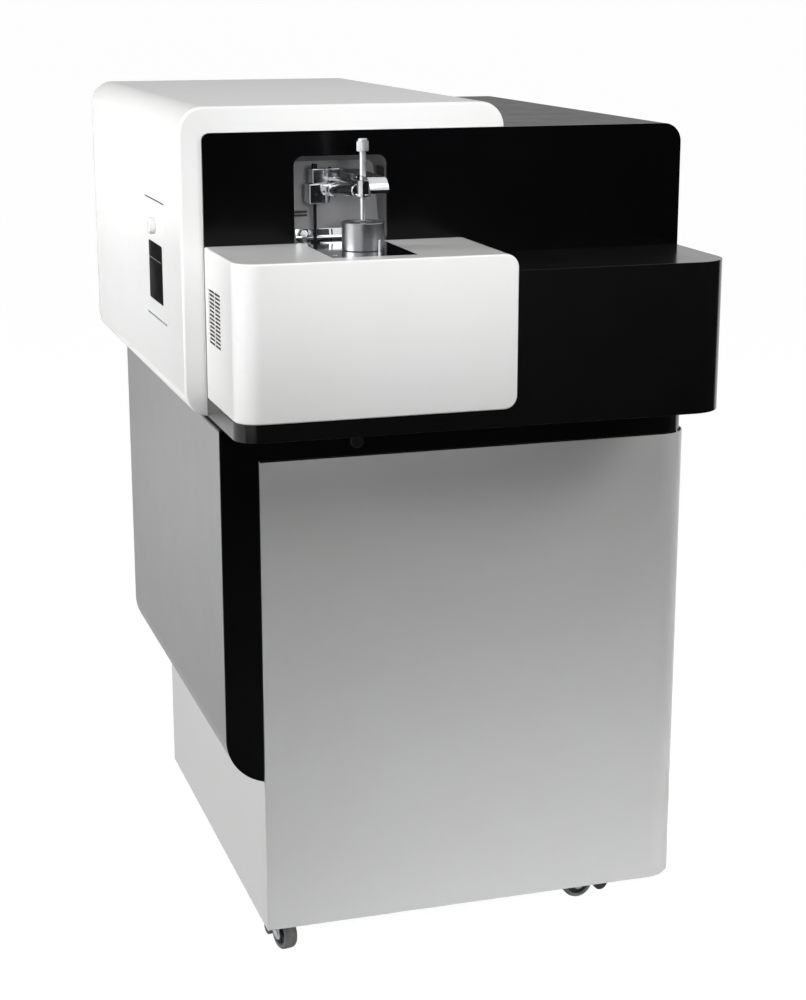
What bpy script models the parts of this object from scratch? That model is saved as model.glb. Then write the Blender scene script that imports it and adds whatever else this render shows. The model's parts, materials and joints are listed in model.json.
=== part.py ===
"""Floor-standing alloy analyzer on casters, modelled as separate pieces.

Every piece is placed from one datum: the lower left corner of the base's front, at floor
level. From there +X runs right, +Y to the back and +Z up. An empty at the datum carries
all the pieces, so that the world origin is the middle of the whole footprint.
All sizes are in metres.
"""
import bpy
import bmesh
from math import acos, atan2, cos, degrees, hypot, pi, radians, sin, sqrt, tan
from mathutils import Matrix, Vector

# Clearances and sheet
FIT = 0.0003              # gap that touching pieces keep
RUN = 0.0005              # running gap beside wheels and pivots
SHEET = 0.0015            # folded steel sheet
SKIN = 0.002              # upper covers
ARC_STEPS = 6             # steps in a quarter turn of an outline
PAST = 0.010              # how far a cutter runs past a face

# Widths
BASE_W = 0.650            # white lower cabinet, left face to right face
HOOD_OUT = 0.099          # hood overhang past the base's left face
HOOD_W = 0.451
FASCIA_IN = 0.030         # fascia's left end, in from the hood's left face
FASCIA_RIGHT_IN = 0.036   # fascia's right end, in from the base's right face
BLOCK_W = 0.374           # white stand block, from the fascia's left end
KNOB_OUT = 0.010          # latch knob standing out of the hood's left face

# Depths
BODY_D = 0.723            # front plane to the back of the top plate
BASE_BACK_IN = 0.028      # cabinet's back, in from the top plate's back
HOOD_BACK_IN = 0.003
BLOCK_OUT = 0.1855        # stand block in front of the front plane
CONSOLE_OUT = 0.182

# Heights, each standing on the one before
WHEEL_R = 0.025
WHEEL_ROOM = 0.0064       # between a wheel and its fork's crown
CROWN_T = 0.004
RACE_T = 0.008
PLATE_T = 0.003
SKIRT_DROP = 0.0205       # bottom edge of the white cabinet below its floor pan
DOOR_H = 0.6985
BAND_GAP = 0.002
BAND_H = 0.045            # black band over the door
TOP_T = 0.0027            # cabinet's top plate
PLINTH_H = 0.019
FASCIA_UP = 0.001
LIP_H = 0.024             # console's lip under the stand block
BLOCK_H = 0.204
WINDOW_H = 0.115          # recess above the spark table
WINDOW_ROOM = 0.033       # fascia above the recess
HOOD_RISE = 0.034         # hood above the fascia
CONSOLE_DROP = 0.022      # console's top below the spark table

# Front corner bend of the base, hinge rod and service door
BEND_R = 0.050
ROD_R = 0.004
ROD_IN_X = 0.014          # hinge rod in from the right face
ROD_IN_Y = 0.041          # hinge rod behind the front plane
DOOR_TAIL = 0.002         # straight end of the door behind its bend
WALL_GAP = 0.0075         # from the door's end to the right wall
PAN_T = 0.002
LUG_T = 0.003
LUG_UP = 0.016            # lower lug above the floor pan
LUG_DOWN = 0.050          # upper lug below the door's top edge
LUG_ARC = (-62, -6)       # part of the bend that a lug follows, in degrees
LUG_INNER = ((0.020, 0.050), (0.028, 0.033))   # in from the right face, behind the front
NOTCH_IN = 0.028          # floor notch that the door's end swings through
NOTCH_Y = 0.048

# Front frame and lock
FRAME_T = 0.003
FRAME_OUT = 0.055         # side cover's width past the base's left face
FRAME_R = 0.070           # bottom corner of the side cover
FRAME_DROP = 0.400        # that corner's centre below the band
BAND_IN = 0.005           # band set in from the base's right face
STRIP_GAP = 0.001
LOCK_X = 0.139
LOCK_UP = 0.020           # lock above the band's lower edge
LOCK_R = 0.008
LOCK_HEAD_R = 0.0095
LOCK_HEAD_T = 0.002
CAM_Y = 0.006
CAM_T = 0.002
CAM_W = 0.012
CAM_L = 0.034
STRIKE_W = 0.020          # catch on the door that the cam turns in front of
STRIKE_Y = 0.0105
STRIKE_LOW = 0.019        # catch below the door's top edge
STRIKE_HIGH = 0.003

# Casters
WHEEL_W = 0.020
AXLE_R = 0.004
TRAIL = 0.020
LEG_T = 0.0025
LEG_END_R = 0.009
LEG_AHEAD = 0.013         # leg's edges at the crown, from the swivel axis
LEG_BEHIND = 0.010
TREAD_EDGE = 0.003
CROWN_R = 0.018
PLATE_A = 0.044
PLATE_R = 0.004
KING_R = 0.005
PEDAL_GAP = 0.0025        # between the wheel and the brake pedal's lobe
PEDAL_Z = 0.018
PEDAL_R = 0.0115
PEDAL_PIN_AHEAD = 0.005   # pedal's pin ahead of its lobe
PEDAL_PIN_DOWN = 0.005    # pedal's pin below the wheel's top
PEDAL_PIN_R = 0.002
PEDAL_EYE_R = 0.0045
CASTERS = {               # name: (in from the side, in from the front or back, heading, brake)
    "front_left": (0.031, 0.062, -78.0, True),
    "front_right": (0.117, 0.078, 183.0, True),
    "rear_left": (0.045, 0.070, 100.0, False),
    "rear_right": (0.045, 0.070, 80.0, False),
}

# Upper unit
PLINTH_IN = 0.010
PLINTH_T = 0.003
PLINTH_RIGHT_IN = 0.045   # plinth's right end, in from the base's right face
PLINTH_BACK_IN = 0.023
HOOD_R = 0.034
MOUTH_R = 0.004           # corners of the opening in the hood's front flange
FASCIA_T = 0.004
FASCIA_R = (0.003, 0.003, 0.026, 0.010)
LAP = 0.010               # fascia overlap on the hood's front flange
COVER_R = 0.027
COVER_EDGE = 0.002        # other corners of the right cover
CONSOLE_T = 0.003
CONSOLE_BEND = 0.050
BLOCK_R = 0.018           # right corners of the block's front
BLOCK_BEND = 0.032        # left front vertical edge of the block
BLOCK_T = 0.0025

# Vents in the block's left wall
VENT_COLUMNS = (-0.058, -0.0938)   # front end of each column of slots
VENT_LENGTH = 0.029
VENT_HEIGHT = 0.0024
VENT_PITCH = 0.00526
VENT_ROWS = 14
VENT_DOWN = 0.0531        # first row below the spark table

# Recess, table and sample
SPARK_IN = 0.1935         # spark hole, in from the fascia's left end
SPARK_BACK = 0.1008       # spark hole behind the block's front
WINDOW_SIDES = (0.0705, 0.0585)    # recess to the left and right of the spark hole
WINDOW_R = 0.013
WINDOW_LOW_R = 0.0008
BACK_R = 0.011            # top corners of the recess at its back
LINER_T = 0.0012
LINER_FLANGE = 0.012
LINER_FLANGE_LOW = 0.005
RECESS_D = 0.066          # depth of the recess at its top
RECESS_DROP = 0.012       # fall of the recess ceiling to the back
RECESS_LEAN = 0.322       # lean of the back wall, run over rise
TABLE_SIDES = (0.0605, 0.0535)     # table to the left and right of the spark hole
TABLE_AHEAD = 0.0693      # table's front edge ahead of the spark hole
TABLE_T = 0.002
TABLE_UP = 0.016          # height of the table's rear upstand
TABLE_BEND = 0.008
SPARK_HOLE_R = 0.007
SAMPLE_R = 0.028
SAMPLE_H = 0.036
SAMPLE_EDGE = 0.0008
SAMPLE_DISH_R = 0.014
SAMPLE_DISH = 0.001

# Spark chamber, electrode and light path
CHAMBER_R = 0.030
CHAMBER_H = 0.042
CHAMBER_BORE = 0.0083
RING_H = 0.012
ELECTRODE_R = 0.003
ELECTRODE_TIP = 0.005     # tip below the table's top
ELECTRODE_CONE = 0.006
LIGHT_DOWN = 0.022        # light path below the table's top
LIGHT_R = 0.009
LIGHT_BORE = 0.006
LIGHT_HOLE = 0.010

# Sample clamp: spans from the column or the spark hole, heights above the table
COLUMN_LEFT = 0.0385      # column to the left of the spark hole
COLUMN_Y = 0.013
COLUMN_R = 0.004
COLUMN_UP = 0.104
COLUMN_FOOT_R = 0.009
COLUMN_FOOT_H = 0.004
HUB_SPAN = (-0.011, 0.017)
HUB_Y = (-0.002, 0.026)
HUB_UP = (0.052, 0.078)
BRACKET_SPAN = (-0.006, 0.031)
BRACKET_Y = (0.000, 0.022)
BRACKET_UP = (0.076, 0.098)
BAR_R = 0.0035
BAR_UP = 0.085
BAR_RIGHT = 0.024         # bar's rear end, right of the column
BAR_Y = 0.010
HEAD_R = 0.0075
HEAD_UP = (0.069, 0.090)
BOSS_BACK = (0.0267, 0.0547)       # boss behind the spark hole
BOSS_W = 0.014
COVER_W = 0.025
COVER_UP = 0.099
COVER_T = 0.001
COVER_BACK_Y = -0.018
COVER_END_AHEAD = 0.0758  # cover's front ahead of the spark hole
COVER_END_UP = 0.080      # its lower edge above the spark table
COVER_BEND = 0.0185
CLAMP_ROD_R = 0.0042
CLAMP_ROD_UP = 0.0705
TIP_R = 0.00375
TIP_GAP = 0.0005
TIP_EDGE = 0.001
KNOB_R = 0.0082
KNOB_EDGE = 0.001
KNOB_UP = (0.127, 0.140)
KNOB_CAP_R = 0.0065
KNOB_CAP_H = 0.003
KNOB_SOCKET = 0.009

# Filter compartment in the hood's left wall
HATCH_IN = 0.1205         # hatch behind the front plane
HATCH_W = 0.1435
HATCH_UP = 0.108          # hatch above the hood's underside
HATCH_H = 0.164
HATCH_R = 0.002
HATCH_GAP = 0.0005
HATCH_LOW_GAP = 0.003
PANE_SIDE = 0.0215        # hatch beside its pane
PANE_UP = 0.022           # hatch below it
PANE_H = 0.083
PANE_R = 0.003
PANE_T = 0.002
PANE_LAP = 0.005
HATCH_PIN_R = 0.0015
HATCH_PIN_UP = 0.001      # hinge axis above the hatch's lower edge
KNUCKLE_R = 0.003
KNUCKLE_IN = 0.010        # knuckle set in from the hatch's ends
POCKET_D = 0.107
POCKET_FLANGE = 0.010
LATCH_IN = 0.074          # latch behind the hatch's front edge
LATCH_DOWN = 0.035        # latch below the hatch's top edge
LATCH_R = 0.0115
LATCH_EDGE = 0.002
LATCH_SHAFT_R = 0.003
LATCH_ARM = 0.046
LATCH_ARM_W = 0.008
LATCH_ARM_T = 0.0015
LATCH_ARM_IN = 0.0045     # cam behind the hood's outer face
LATCH_SLOT = 0.005        # slot in the pocket's roof for the cam
CANISTER_R = 0.027
CANISTER_H = 0.120
CANISTER_EDGE = 0.004
CANISTER_IN = 0.049       # canister's axis behind the hood's outer face
CANISTER_NECK_R = 0.009
CANISTER_NECK_H = 0.014

# Inside the upper unit
TUB_GAP_SIDE = 0.022      # optics tub beside the filter compartment
TUB_GAP_FRONT = 0.009     # optics tub behind the recess
TUB_GAP_BACK = 0.030
TUB_H = 0.270
TUB_T = 0.006
LID_T = 0.004
BOARD_IN = 0.050          # detector housing in from the tub's left and back
BOARD_W = 0.200
BOARD_D = 0.220
BOARD_H = 0.030

# Inside the cabinet
SOURCE_IN = 0.060         # spark source in from the cabinet's left face
SOURCE_W = 0.300
SOURCE_FRONT = 0.120      # spark source and power supply behind the front plane
SOURCE_BACK_IN = 0.095
SOURCE_H = 0.200
SUPPLY_GAP = 0.020        # power supply beside the spark source
SUPPLY_RIGHT_IN = 0.060
SUPPLY_D = 0.300
SUPPLY_H = 0.130
BOX_T = 0.002
MANIFOLD_Y = (0.300, 0.460)
MANIFOLD_UP = 0.326       # manifold above the floor pan
MANIFOLD_H = 0.040
MANIFOLD_D = 0.032
STUB_R = 0.006
STUB_L = 0.018
STUB_COUNT = 3

# Rear panels and what they carry
PANEL_T = 0.0015
SLOT_W = 0.120
SLOT_H = 0.005
SLOT_PITCH = 0.016
SLOT_ROWS = 9
LOW_SLOT_LEFT = 0.260     # lower slots to the left of the fan's axis
LOW_SLOT_DOWN = 0.190     # first lower slot below the door's top
TOP_SLOT_X = 0.060
TOP_SLOT_RIGHT_IN = 0.134
TOP_SLOT_UP = 0.141       # first upper slot above the hood's underside
FAN_IN = 0.150            # fan's axis in from the right face, and below the door's top
FAN_A = 0.120
FAN_D = 0.025
FAN_CORNER = 0.004
FAN_R = 0.056
FAN_HUB_R = 0.018
FAN_STRUT = 0.006
FAN_STRUT_T = 0.003
SPINDLE_R = 0.003
BLADE_R = 0.053
BLADE_ROOT = 0.002        # blade's root inside the hub
BLADE_T = 0.0016
BLADE_PITCH = 38.0
BLADES = 7
GUARD_T = 0.0015
GUARD_RINGS = ((0.016, 0.026), (0.030, 0.040), (0.044, 0.054))
GUARD_SPOKES = 4
GUARD_SPOKE = 0.004
SERVICE_UP = 0.088        # mains inlet and gas fitting above the pan's underside
INLET_X = 0.130
INLET_W = 0.048
INLET_H = 0.028
INLET_D = 0.028
INLET_LIP = 0.006
INLET_LIP_R = 0.003
INLET_LIP_T = 0.003
SOCKET_W = 0.022
SOCKET_H = 0.016
SOCKET_D = 0.020
ROCKER_W = 0.012
ROCKER_H = 0.018
ROCKER_D = 0.007
ROCKER_IN = 0.010         # depth of the rocker's well
ROCKER_PROUD = 0.002      # rocker standing out of the inlet's face
ROCKER_HEEL = 0.002       # rise of the rocker's underside to its ends
ROCKER_PIN_R = 0.001
GAS_X = 0.220
GAS_R = 0.006
GAS_NUT_R = 0.010
GAS_OUT = 0.018
GAS_IN = 0.040

# Heights that follow from the sizes above
PAN_Z = 2 * WHEEL_R + WHEEL_ROOM + CROWN_T + RACE_T + PLATE_T + 2 * FIT
PAN_TOP = PAN_Z + PAN_T
SKIRT_Z = PAN_Z - SKIRT_DROP
DOOR_TOP = SKIRT_Z + DOOR_H
BAND_Z = DOOR_TOP + BAND_GAP
BAND_TOP = BAND_Z + BAND_H
BASE_TOP_INNER = BAND_TOP - FIT
DECK_LOW = BAND_TOP + FIT
DECK_Z = DECK_LOW + TOP_T
UPPER_Z = DECK_Z + PLINTH_H
FASCIA_LOW = UPPER_Z + FASCIA_UP
BLOCK_LOW = FASCIA_LOW + LIP_H
TABLE_Z = BLOCK_LOW + BLOCK_H
CONSOLE_TOP = TABLE_Z - CONSOLE_DROP
WINDOW_TOP = TABLE_Z + WINDOW_H
FASCIA_TOP = WINDOW_TOP + WINDOW_ROOM
HOOD_TOP = FASCIA_TOP + HOOD_RISE
LUG_Z = (PAN_TOP + LUG_UP, DOOR_TOP - LUG_DOWN)
FRAME_LOW = BAND_Z - FRAME_DROP
LOCK_Z = BAND_Z + LOCK_UP
PEDAL_PIN_Z = 2 * WHEEL_R - PEDAL_PIN_DOWN
VENT_TOP = TABLE_Z - VENT_DOWN
TABLE_LOW = TABLE_Z - TABLE_T
FLOOR_Z = TABLE_LOW - FIT
SAMPLE_TOP = TABLE_Z + FIT + SAMPLE_H
CHAMBER_TOP = TABLE_LOW - FIT
CHAMBER_LOW = CHAMBER_TOP - CHAMBER_H
LIGHT_Z = TABLE_Z - LIGHT_DOWN
COLUMN_TOP = TABLE_Z + COLUMN_UP
HUB_Z = (TABLE_Z + HUB_UP[0], TABLE_Z + HUB_UP[1])
BRACKET_Z = (TABLE_Z + BRACKET_UP[0], TABLE_Z + BRACKET_UP[1])
BAR_Z = TABLE_Z + BAR_UP
HEAD_Z = (TABLE_Z + HEAD_UP[0], TABLE_Z + HEAD_UP[1])
COVER_Z = TABLE_Z + COVER_UP
CLAMP_ROD_LOW = TABLE_Z + CLAMP_ROD_UP
KNOB_Z = (TABLE_Z + KNOB_UP[0], TABLE_Z + KNOB_UP[1])
HATCH_Z = (UPPER_Z + HATCH_UP, UPPER_Z + HATCH_UP + HATCH_H)
PANE_Z = (HATCH_Z[0] + PANE_UP, HATCH_Z[0] + PANE_UP + PANE_H)
LATCH_Z = HATCH_Z[1] - LATCH_DOWN
HATCH_PIN_Z = HATCH_Z[0] + HATCH_PIN_UP
TUB_LOW = UPPER_Z + SKIN + FIT
TUB_TOP = TUB_LOW + TUB_H
CASE_LOW = PAN_TOP + FIT
MANIFOLD_Z = (PAN_TOP + MANIFOLD_UP, PAN_TOP + MANIFOLD_UP + MANIFOLD_H)
LOW_SLOT_Z = DOOR_TOP - LOW_SLOT_DOWN
TOP_SLOT_Z = UPPER_Z + TOP_SLOT_UP
FAN_Z = DOOR_TOP - FAN_IN
INLET_Z = PAN_Z + SERVICE_UP
GAS_Z = INLET_Z

# Places across and behind that follow from the sizes above
DATUM = Vector((
    (HOOD_OUT + KNOB_OUT - BASE_W) / 2,
    (BLOCK_OUT - BODY_D) / 2,
    0.0,
))
BASE_D = BODY_D - BASE_BACK_IN
WALL_Y = BEND_R + DOOR_TAIL + WALL_GAP
ROD_X = BASE_W - ROD_IN_X
PEDAL_U = TRAIL - WHEEL_R - PEDAL_GAP - PEDAL_R
PEDAL_PIN_U = PEDAL_U + PEDAL_PIN_AHEAD
HOOD_RIGHT = HOOD_W - HOOD_OUT
HOOD_FRONT = FASCIA_T + FIT
HOOD_BACK = BODY_D - HOOD_BACK_IN
PLINTH_RIGHT = BASE_W - PLINTH_RIGHT_IN
PLINTH_BACK = BODY_D - PLINTH_BACK_IN
FASCIA_LEFT = FASCIA_IN - HOOD_OUT
FASCIA_RIGHT = BASE_W - FASCIA_RIGHT_IN
BLOCK_RIGHT = FASCIA_LEFT + BLOCK_W
SPARK_X = FASCIA_LEFT + SPARK_IN
SPARK_Y = SPARK_BACK - BLOCK_OUT
WINDOW_X = (SPARK_X - WINDOW_SIDES[0], SPARK_X + WINDOW_SIDES[1])
TABLE_X = (SPARK_X - TABLE_SIDES[0], SPARK_X + TABLE_SIDES[1])
TABLE_FRONT = SPARK_Y - TABLE_AHEAD
RECESS_BACK_LOW = RECESS_D - RECESS_LEAN * (WINDOW_TOP - RECESS_DROP - FLOOR_Z)
COLUMN_X = SPARK_X - COLUMN_LEFT
HUB_X = (COLUMN_X + HUB_SPAN[0], COLUMN_X + HUB_SPAN[1])
BRACKET_X = (COLUMN_X + BRACKET_SPAN[0], COLUMN_X + BRACKET_SPAN[1])
BOSS_Y = (SPARK_Y + BOSS_BACK[0], SPARK_Y + BOSS_BACK[1])
HATCH_FACE = -HOOD_OUT
HATCH_Y = (HATCH_IN, HATCH_IN + HATCH_W)
PANE_Y = (HATCH_Y[0] + PANE_SIDE, HATCH_Y[1] - PANE_SIDE)
HATCH_PIN_X = HATCH_FACE + SHEET + HATCH_PIN_R
LATCH_Y = HATCH_Y[0] + LATCH_IN
LATCH_CAM_X = HATCH_FACE + LATCH_ARM_IN
CANISTER_X = HATCH_FACE + CANISTER_IN
TUB_X = (HATCH_FACE + POCKET_D + TUB_GAP_SIDE, HOOD_RIGHT - HOOD_R - FIT)
TUB_Y = (RECESS_D + TUB_GAP_FRONT, HOOD_BACK - TUB_GAP_BACK)
BOARD_X = (TUB_X[0] + BOARD_IN, TUB_X[0] + BOARD_IN + BOARD_W)
BOARD_Y = (TUB_Y[1] - BOARD_IN - BOARD_D, TUB_Y[1] - BOARD_IN)
SOURCE_X = (SOURCE_IN, SOURCE_IN + SOURCE_W)
SOURCE_Y = (SOURCE_FRONT, BASE_D - SOURCE_BACK_IN)
SUPPLY_X = (SOURCE_X[1] + SUPPLY_GAP, BASE_W - SUPPLY_RIGHT_IN)
SUPPLY_Y = (SOURCE_FRONT, SOURCE_FRONT + SUPPLY_D)
PANEL_LOW_Y = BASE_D + FIT
PANEL_OUT_Y = PANEL_LOW_Y + PANEL_T
FAN_X = BASE_W - FAN_IN
FAN_Y = PANEL_LOW_Y - FIT - FAN_D

for old in list(bpy.data.objects):
    bpy.data.objects.remove(old, do_unlink=True)

datum = bpy.data.objects.new("datum", None)
datum.location = DATUM
bpy.context.scene.collection.objects.link(datum)


# Materials
def material(name, hex_colour, metallic, roughness):
    mat = bpy.data.materials.new(name)
    mat.use_nodes = True
    shader = mat.node_tree.nodes["Principled BSDF"]
    parts = [int(hex_colour[i:i + 2], 16) / 255 for i in (1, 3, 5)]
    linear = [c / 12.92 if c < 0.04045 else ((c + 0.055) / 1.055) ** 2.4 for c in parts]
    shader.inputs["Base Color"].default_value = (*linear, 1.0)
    shader.inputs["Metallic"].default_value = metallic
    shader.inputs["Roughness"].default_value = roughness
    mat.diffuse_color = (*linear, 1.0)
    return mat


white = material("white_enamel", "#ececec", 0.0, 0.35)
grey = material("grey_enamel", "#9c9c9c", 0.0, 0.40)
black = material("gloss_black", "#0a0a0b", 0.0, 0.12)
dark = material("dark_grey", "#3c3c3e", 0.0, 0.45)
steel = material("polished_steel", "#cfd2d4", 1.0, 0.12)
plated = material("plated_steel", "#b4b6b8", 1.0, 0.35)
alloy = material("cast_alloy", "#a3a5a8", 1.0, 0.45)
rubber = material("grey_rubber", "#6b6b6b", 0.0, 0.75)
plastic = material("black_plastic", "#151516", 0.0, 0.55)
ceramic = material("white_ceramic", "#e6e2d8", 0.0, 0.40)
glass = material("smoked_acrylic", "#0b0c0d", 0.0, 0.08)


# Outlines
def arc(cx, cy, radius, start, end, steps=ARC_STEPS):
    """Points on an arc from one angle to another, in degrees."""
    angles = [radians(start + (end - start) * i / steps) for i in range(steps + 1)]
    return [(cx + radius * cos(a), cy + radius * sin(a)) for a in angles]


def circle(cx, cy, radius, steps=24):
    return [(cx + radius * cos(2 * pi * i / steps), cy + radius * sin(2 * pi * i / steps))
            for i in range(steps)]


def rounded(x0, x1, y0, y1, radii, steps=ARC_STEPS):
    """Rectangle whose radii run bottom left, bottom right, top right, top left."""
    if not isinstance(radii, tuple):
        radii = (radii,) * 4
    corners = ((x0, y0, 1, 1, 180), (x1, y0, -1, 1, 270), (x1, y1, -1, -1, 0), (x0, y1, 1, -1, 90))
    points = []
    for (x, y, sx, sy, start), radius in zip(corners, radii):
        if radius:
            points += arc(x + sx * radius, y + sy * radius, radius, start, start + 90, steps)
        else:
            points.append((x, y))
    return points


def filleted(points, radius, steps=ARC_STEPS):
    """Open path whose inner corners are rounded to one radius."""
    path = [points[0]]
    for before, corner, after in zip(points, points[1:], points[2:]):
        back = Vector(before) - Vector(corner)
        ahead = Vector(after) - Vector(corner)
        back.normalize()
        ahead.normalize()
        half = acos(max(-1.0, min(1.0, back.dot(ahead)))) / 2
        centre = Vector(corner) + (back + ahead).normalized() * (radius / sin(half))
        first = Vector(corner) + back * (radius / tan(half)) - centre
        last = Vector(corner) + ahead * (radius / tan(half)) - centre
        start = atan2(first.y, first.x)
        turn = (atan2(last.y, last.x) - start + pi) % (2 * pi) - pi
        path += arc(centre.x, centre.y, radius, degrees(start), degrees(start + turn), steps)
    path.append(points[-1])
    return path


def sheet_outline(path, thickness):
    """Closed outline of a sheet whose outer face follows the path, on its right."""
    inner = []
    for i, point in enumerate(path):
        before = Vector(path[i]) - Vector(path[i - 1]) if i else Vector((0, 0))
        after = Vector(path[i + 1]) - Vector(path[i]) if i < len(path) - 1 else Vector((0, 0))
        before = before.normalized() if before.length else after.normalized()
        after = after.normalized() if after.length else before
        normal = Vector((-before.y - after.y, before.x + after.x)).normalized()
        stretch = 1 / max(0.2, normal.dot(Vector((-before.y, before.x))))
        inner.append(tuple(Vector(point) + normal * thickness * stretch))
    return list(path) + inner[::-1]


# Solids
AXES = {
    "x": lambda u, v, w: (w, u, v),
    "y": lambda u, v, w: (u, w, v),
    "z": lambda u, v, w: (u, v, w),
}


def prism(outline, axis, low, high, holes=()):
    """Outline with holes, pushed along an axis. Outlines are (y, z), (x, z) or (x, y)."""
    bm = bmesh.new()
    place = AXES[axis]
    edges = []
    for loop in (outline, *holes):
        verts = [bm.verts.new(place(u, v, low)) for u, v in loop]
        edges += [bm.edges.new((verts[i - 1], verts[i])) for i in range(len(verts))]
    if holes:
        bmesh.ops.triangle_fill(bm, use_beauty=True, use_dissolve=False, edges=edges)
    else:
        bm.faces.new(bm.verts)
    made = bmesh.ops.extrude_face_region(bm, geom=bm.faces[:])
    push = Vector(place(0, 0, high)) - Vector(place(0, 0, low))
    bmesh.ops.translate(bm, vec=push, verts=[g for g in made["geom"] if isinstance(g, bmesh.types.BMVert)])
    bmesh.ops.recalc_face_normals(bm, faces=bm.faces[:])
    return bm


def box(x, y, z):
    return prism([(x[0], y[0]), (x[1], y[0]), (x[1], y[1]), (x[0], y[1])], "z", *z)


def turned(profile, centre=(0, 0, 0), axis="z", steps=24, closed=False):
    """Profile of (radius, height) points turned about an axis through the centre."""
    bm = bmesh.new()
    place = AXES[axis]
    rings = []
    for radius, height in profile:
        if radius == 0:
            rings.append([bm.verts.new(place(0, 0, height))])
            continue
        angles = [2 * pi * i / steps for i in range(steps)]
        rings.append([bm.verts.new(place(radius * cos(a), radius * sin(a), height)) for a in angles])
    pairs = list(zip(rings, rings[1:]))
    if closed:
        pairs.append((rings[-1], rings[0]))
    for a, b in pairs:
        for i in range(steps):
            j = (i + 1) % steps
            corners = [a[i % len(a)], a[j % len(a)], b[j % len(b)], b[i % len(b)]]
            bm.faces.new(list(dict.fromkeys(corners)))
    if not closed:
        for ring in (rings[0], rings[-1]):
            if len(ring) > 1:
                bm.faces.new(ring)
    bmesh.ops.recalc_face_normals(bm, faces=bm.faces[:])
    bmesh.ops.translate(bm, vec=centre, verts=bm.verts[:])
    return bm


def rod(radius, start, end, steps=16):
    """Round bar between two points."""
    along = Vector(end) - Vector(start)
    bm = turned([(radius, 0), (radius, along.length)], steps=steps)
    turn = Vector((0, 0, 1)).rotation_difference(along).to_matrix().to_4x4()
    bmesh.ops.transform(bm, matrix=Matrix.Translation(start) @ turn, verts=bm.verts[:])
    return bm


def lofted(loops, closed):
    """Skin through loops of equal length: a closed ring of loops, or capped at both ends."""
    bm = bmesh.new()
    rings = [[bm.verts.new(p) for p in loop] for loop in loops]
    pairs = list(zip(rings, rings[1:]))
    if closed:
        pairs.append((rings[-1], rings[0]))
    for a, b in pairs:
        for i in range(len(a)):
            bm.faces.new((a[i - 1], a[i], b[i], b[i - 1]))
    if not closed:
        bm.faces.new(rings[0])
        bm.faces.new(rings[-1])
    bmesh.ops.recalc_face_normals(bm, faces=bm.faces[:])
    return bm


def joined(*solids):
    """Several solids that don't touch, as one cutter."""
    bm = bmesh.new()
    for solid in solids:
        mesh = bpy.data.meshes.new("joined")
        solid.to_mesh(mesh)
        solid.free()
        bm.from_mesh(mesh)
        bpy.data.meshes.remove(mesh)
    return bm


# Objects
def add(name, bm, mat=None, origin=(0, 0, 0), turn=0.0):
    """Object on the datum, its origin at a given point, turned about the vertical there."""
    bmesh.ops.translate(bm, vec=-Vector(origin), verts=bm.verts[:])
    mesh = bpy.data.meshes.new(name)
    bm.to_mesh(mesh)
    bm.free()
    mesh.shade_smooth()
    mesh.set_sharp_from_angle(angle=radians(30))
    obj = bpy.data.objects.new(name, mesh)
    obj.location = origin
    obj.rotation_euler.z = turn
    obj.parent = datum
    bpy.context.scene.collection.objects.link(obj)
    if mat:
        mesh.materials.append(mat)
    return obj


def shape(obj, operation, bm):
    """Cut a tool solid from an object, or join it on. The tool shares the object's place."""
    tool = add(obj.name + "_tool", bm, None, obj.location, obj.rotation_euler.z)
    tool.hide_render = True
    tool.display_type = "WIRE"
    boolean = obj.modifiers.new(operation.lower(), "BOOLEAN")
    boolean.operation = operation
    boolean.object = tool
    boolean.solver = "EXACT"


def cut(obj, *solids):
    shape(obj, "DIFFERENCE", joined(*solids))


def join(obj, *solids):
    for solid in solids:
        shape(obj, "UNION", solid)


# Lower cabinet
def corner_bend(right, inset):
    """Front right corner arc in plan, inset from the sheet's outer face."""
    return arc(right - BEND_R, BEND_R, BEND_R - inset, -90, 0)


def build_base_shell():
    left_top = BASE_TOP_INNER
    outline = [
        (0, SKIRT_Z), (SHEET, SKIRT_Z), (SHEET, PAN_Z), (BASE_W - SHEET, PAN_Z),
        (BASE_W - SHEET, SKIRT_Z), (BASE_W, SKIRT_Z), (BASE_W, DOOR_TOP), (BASE_W - SHEET, DOOR_TOP),
        (BASE_W - SHEET, PAN_TOP), (SHEET, PAN_TOP), (SHEET, left_top), (0, left_top),
    ]
    shell = add("base_shell", prism(outline, "y", SHEET + FIT, BASE_D), white)
    clear = SHEET + 2 * FIT
    corner = corner_bend(BASE_W, clear)
    rod_off = (BEND_R - ROD_IN_X, ROD_IN_Y - BEND_R)
    land = BEND_R - clear - RUN - hypot(*rod_off)
    swing = [
        (BASE_W - BEND_R, -PAST), (BASE_W + PAST, -PAST), (BASE_W + PAST, WALL_Y),
        (BASE_W - NOTCH_IN, WALL_Y), (BASE_W - NOTCH_IN, NOTCH_Y),
    ] + arc(ROD_X, ROD_IN_Y, land, 90, degrees(atan2(rod_off[1], rod_off[0])))
    cut(shell, prism(swing + corner[:-1][::-1], "z", SKIRT_Z - PAST, DOOR_TOP + PAST))
    behind_band = box((-SHEET, 2 * SHEET), (0, FRAME_T + FIT), (DOOR_TOP, BAND_TOP))
    cut(shell, behind_band)


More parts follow.
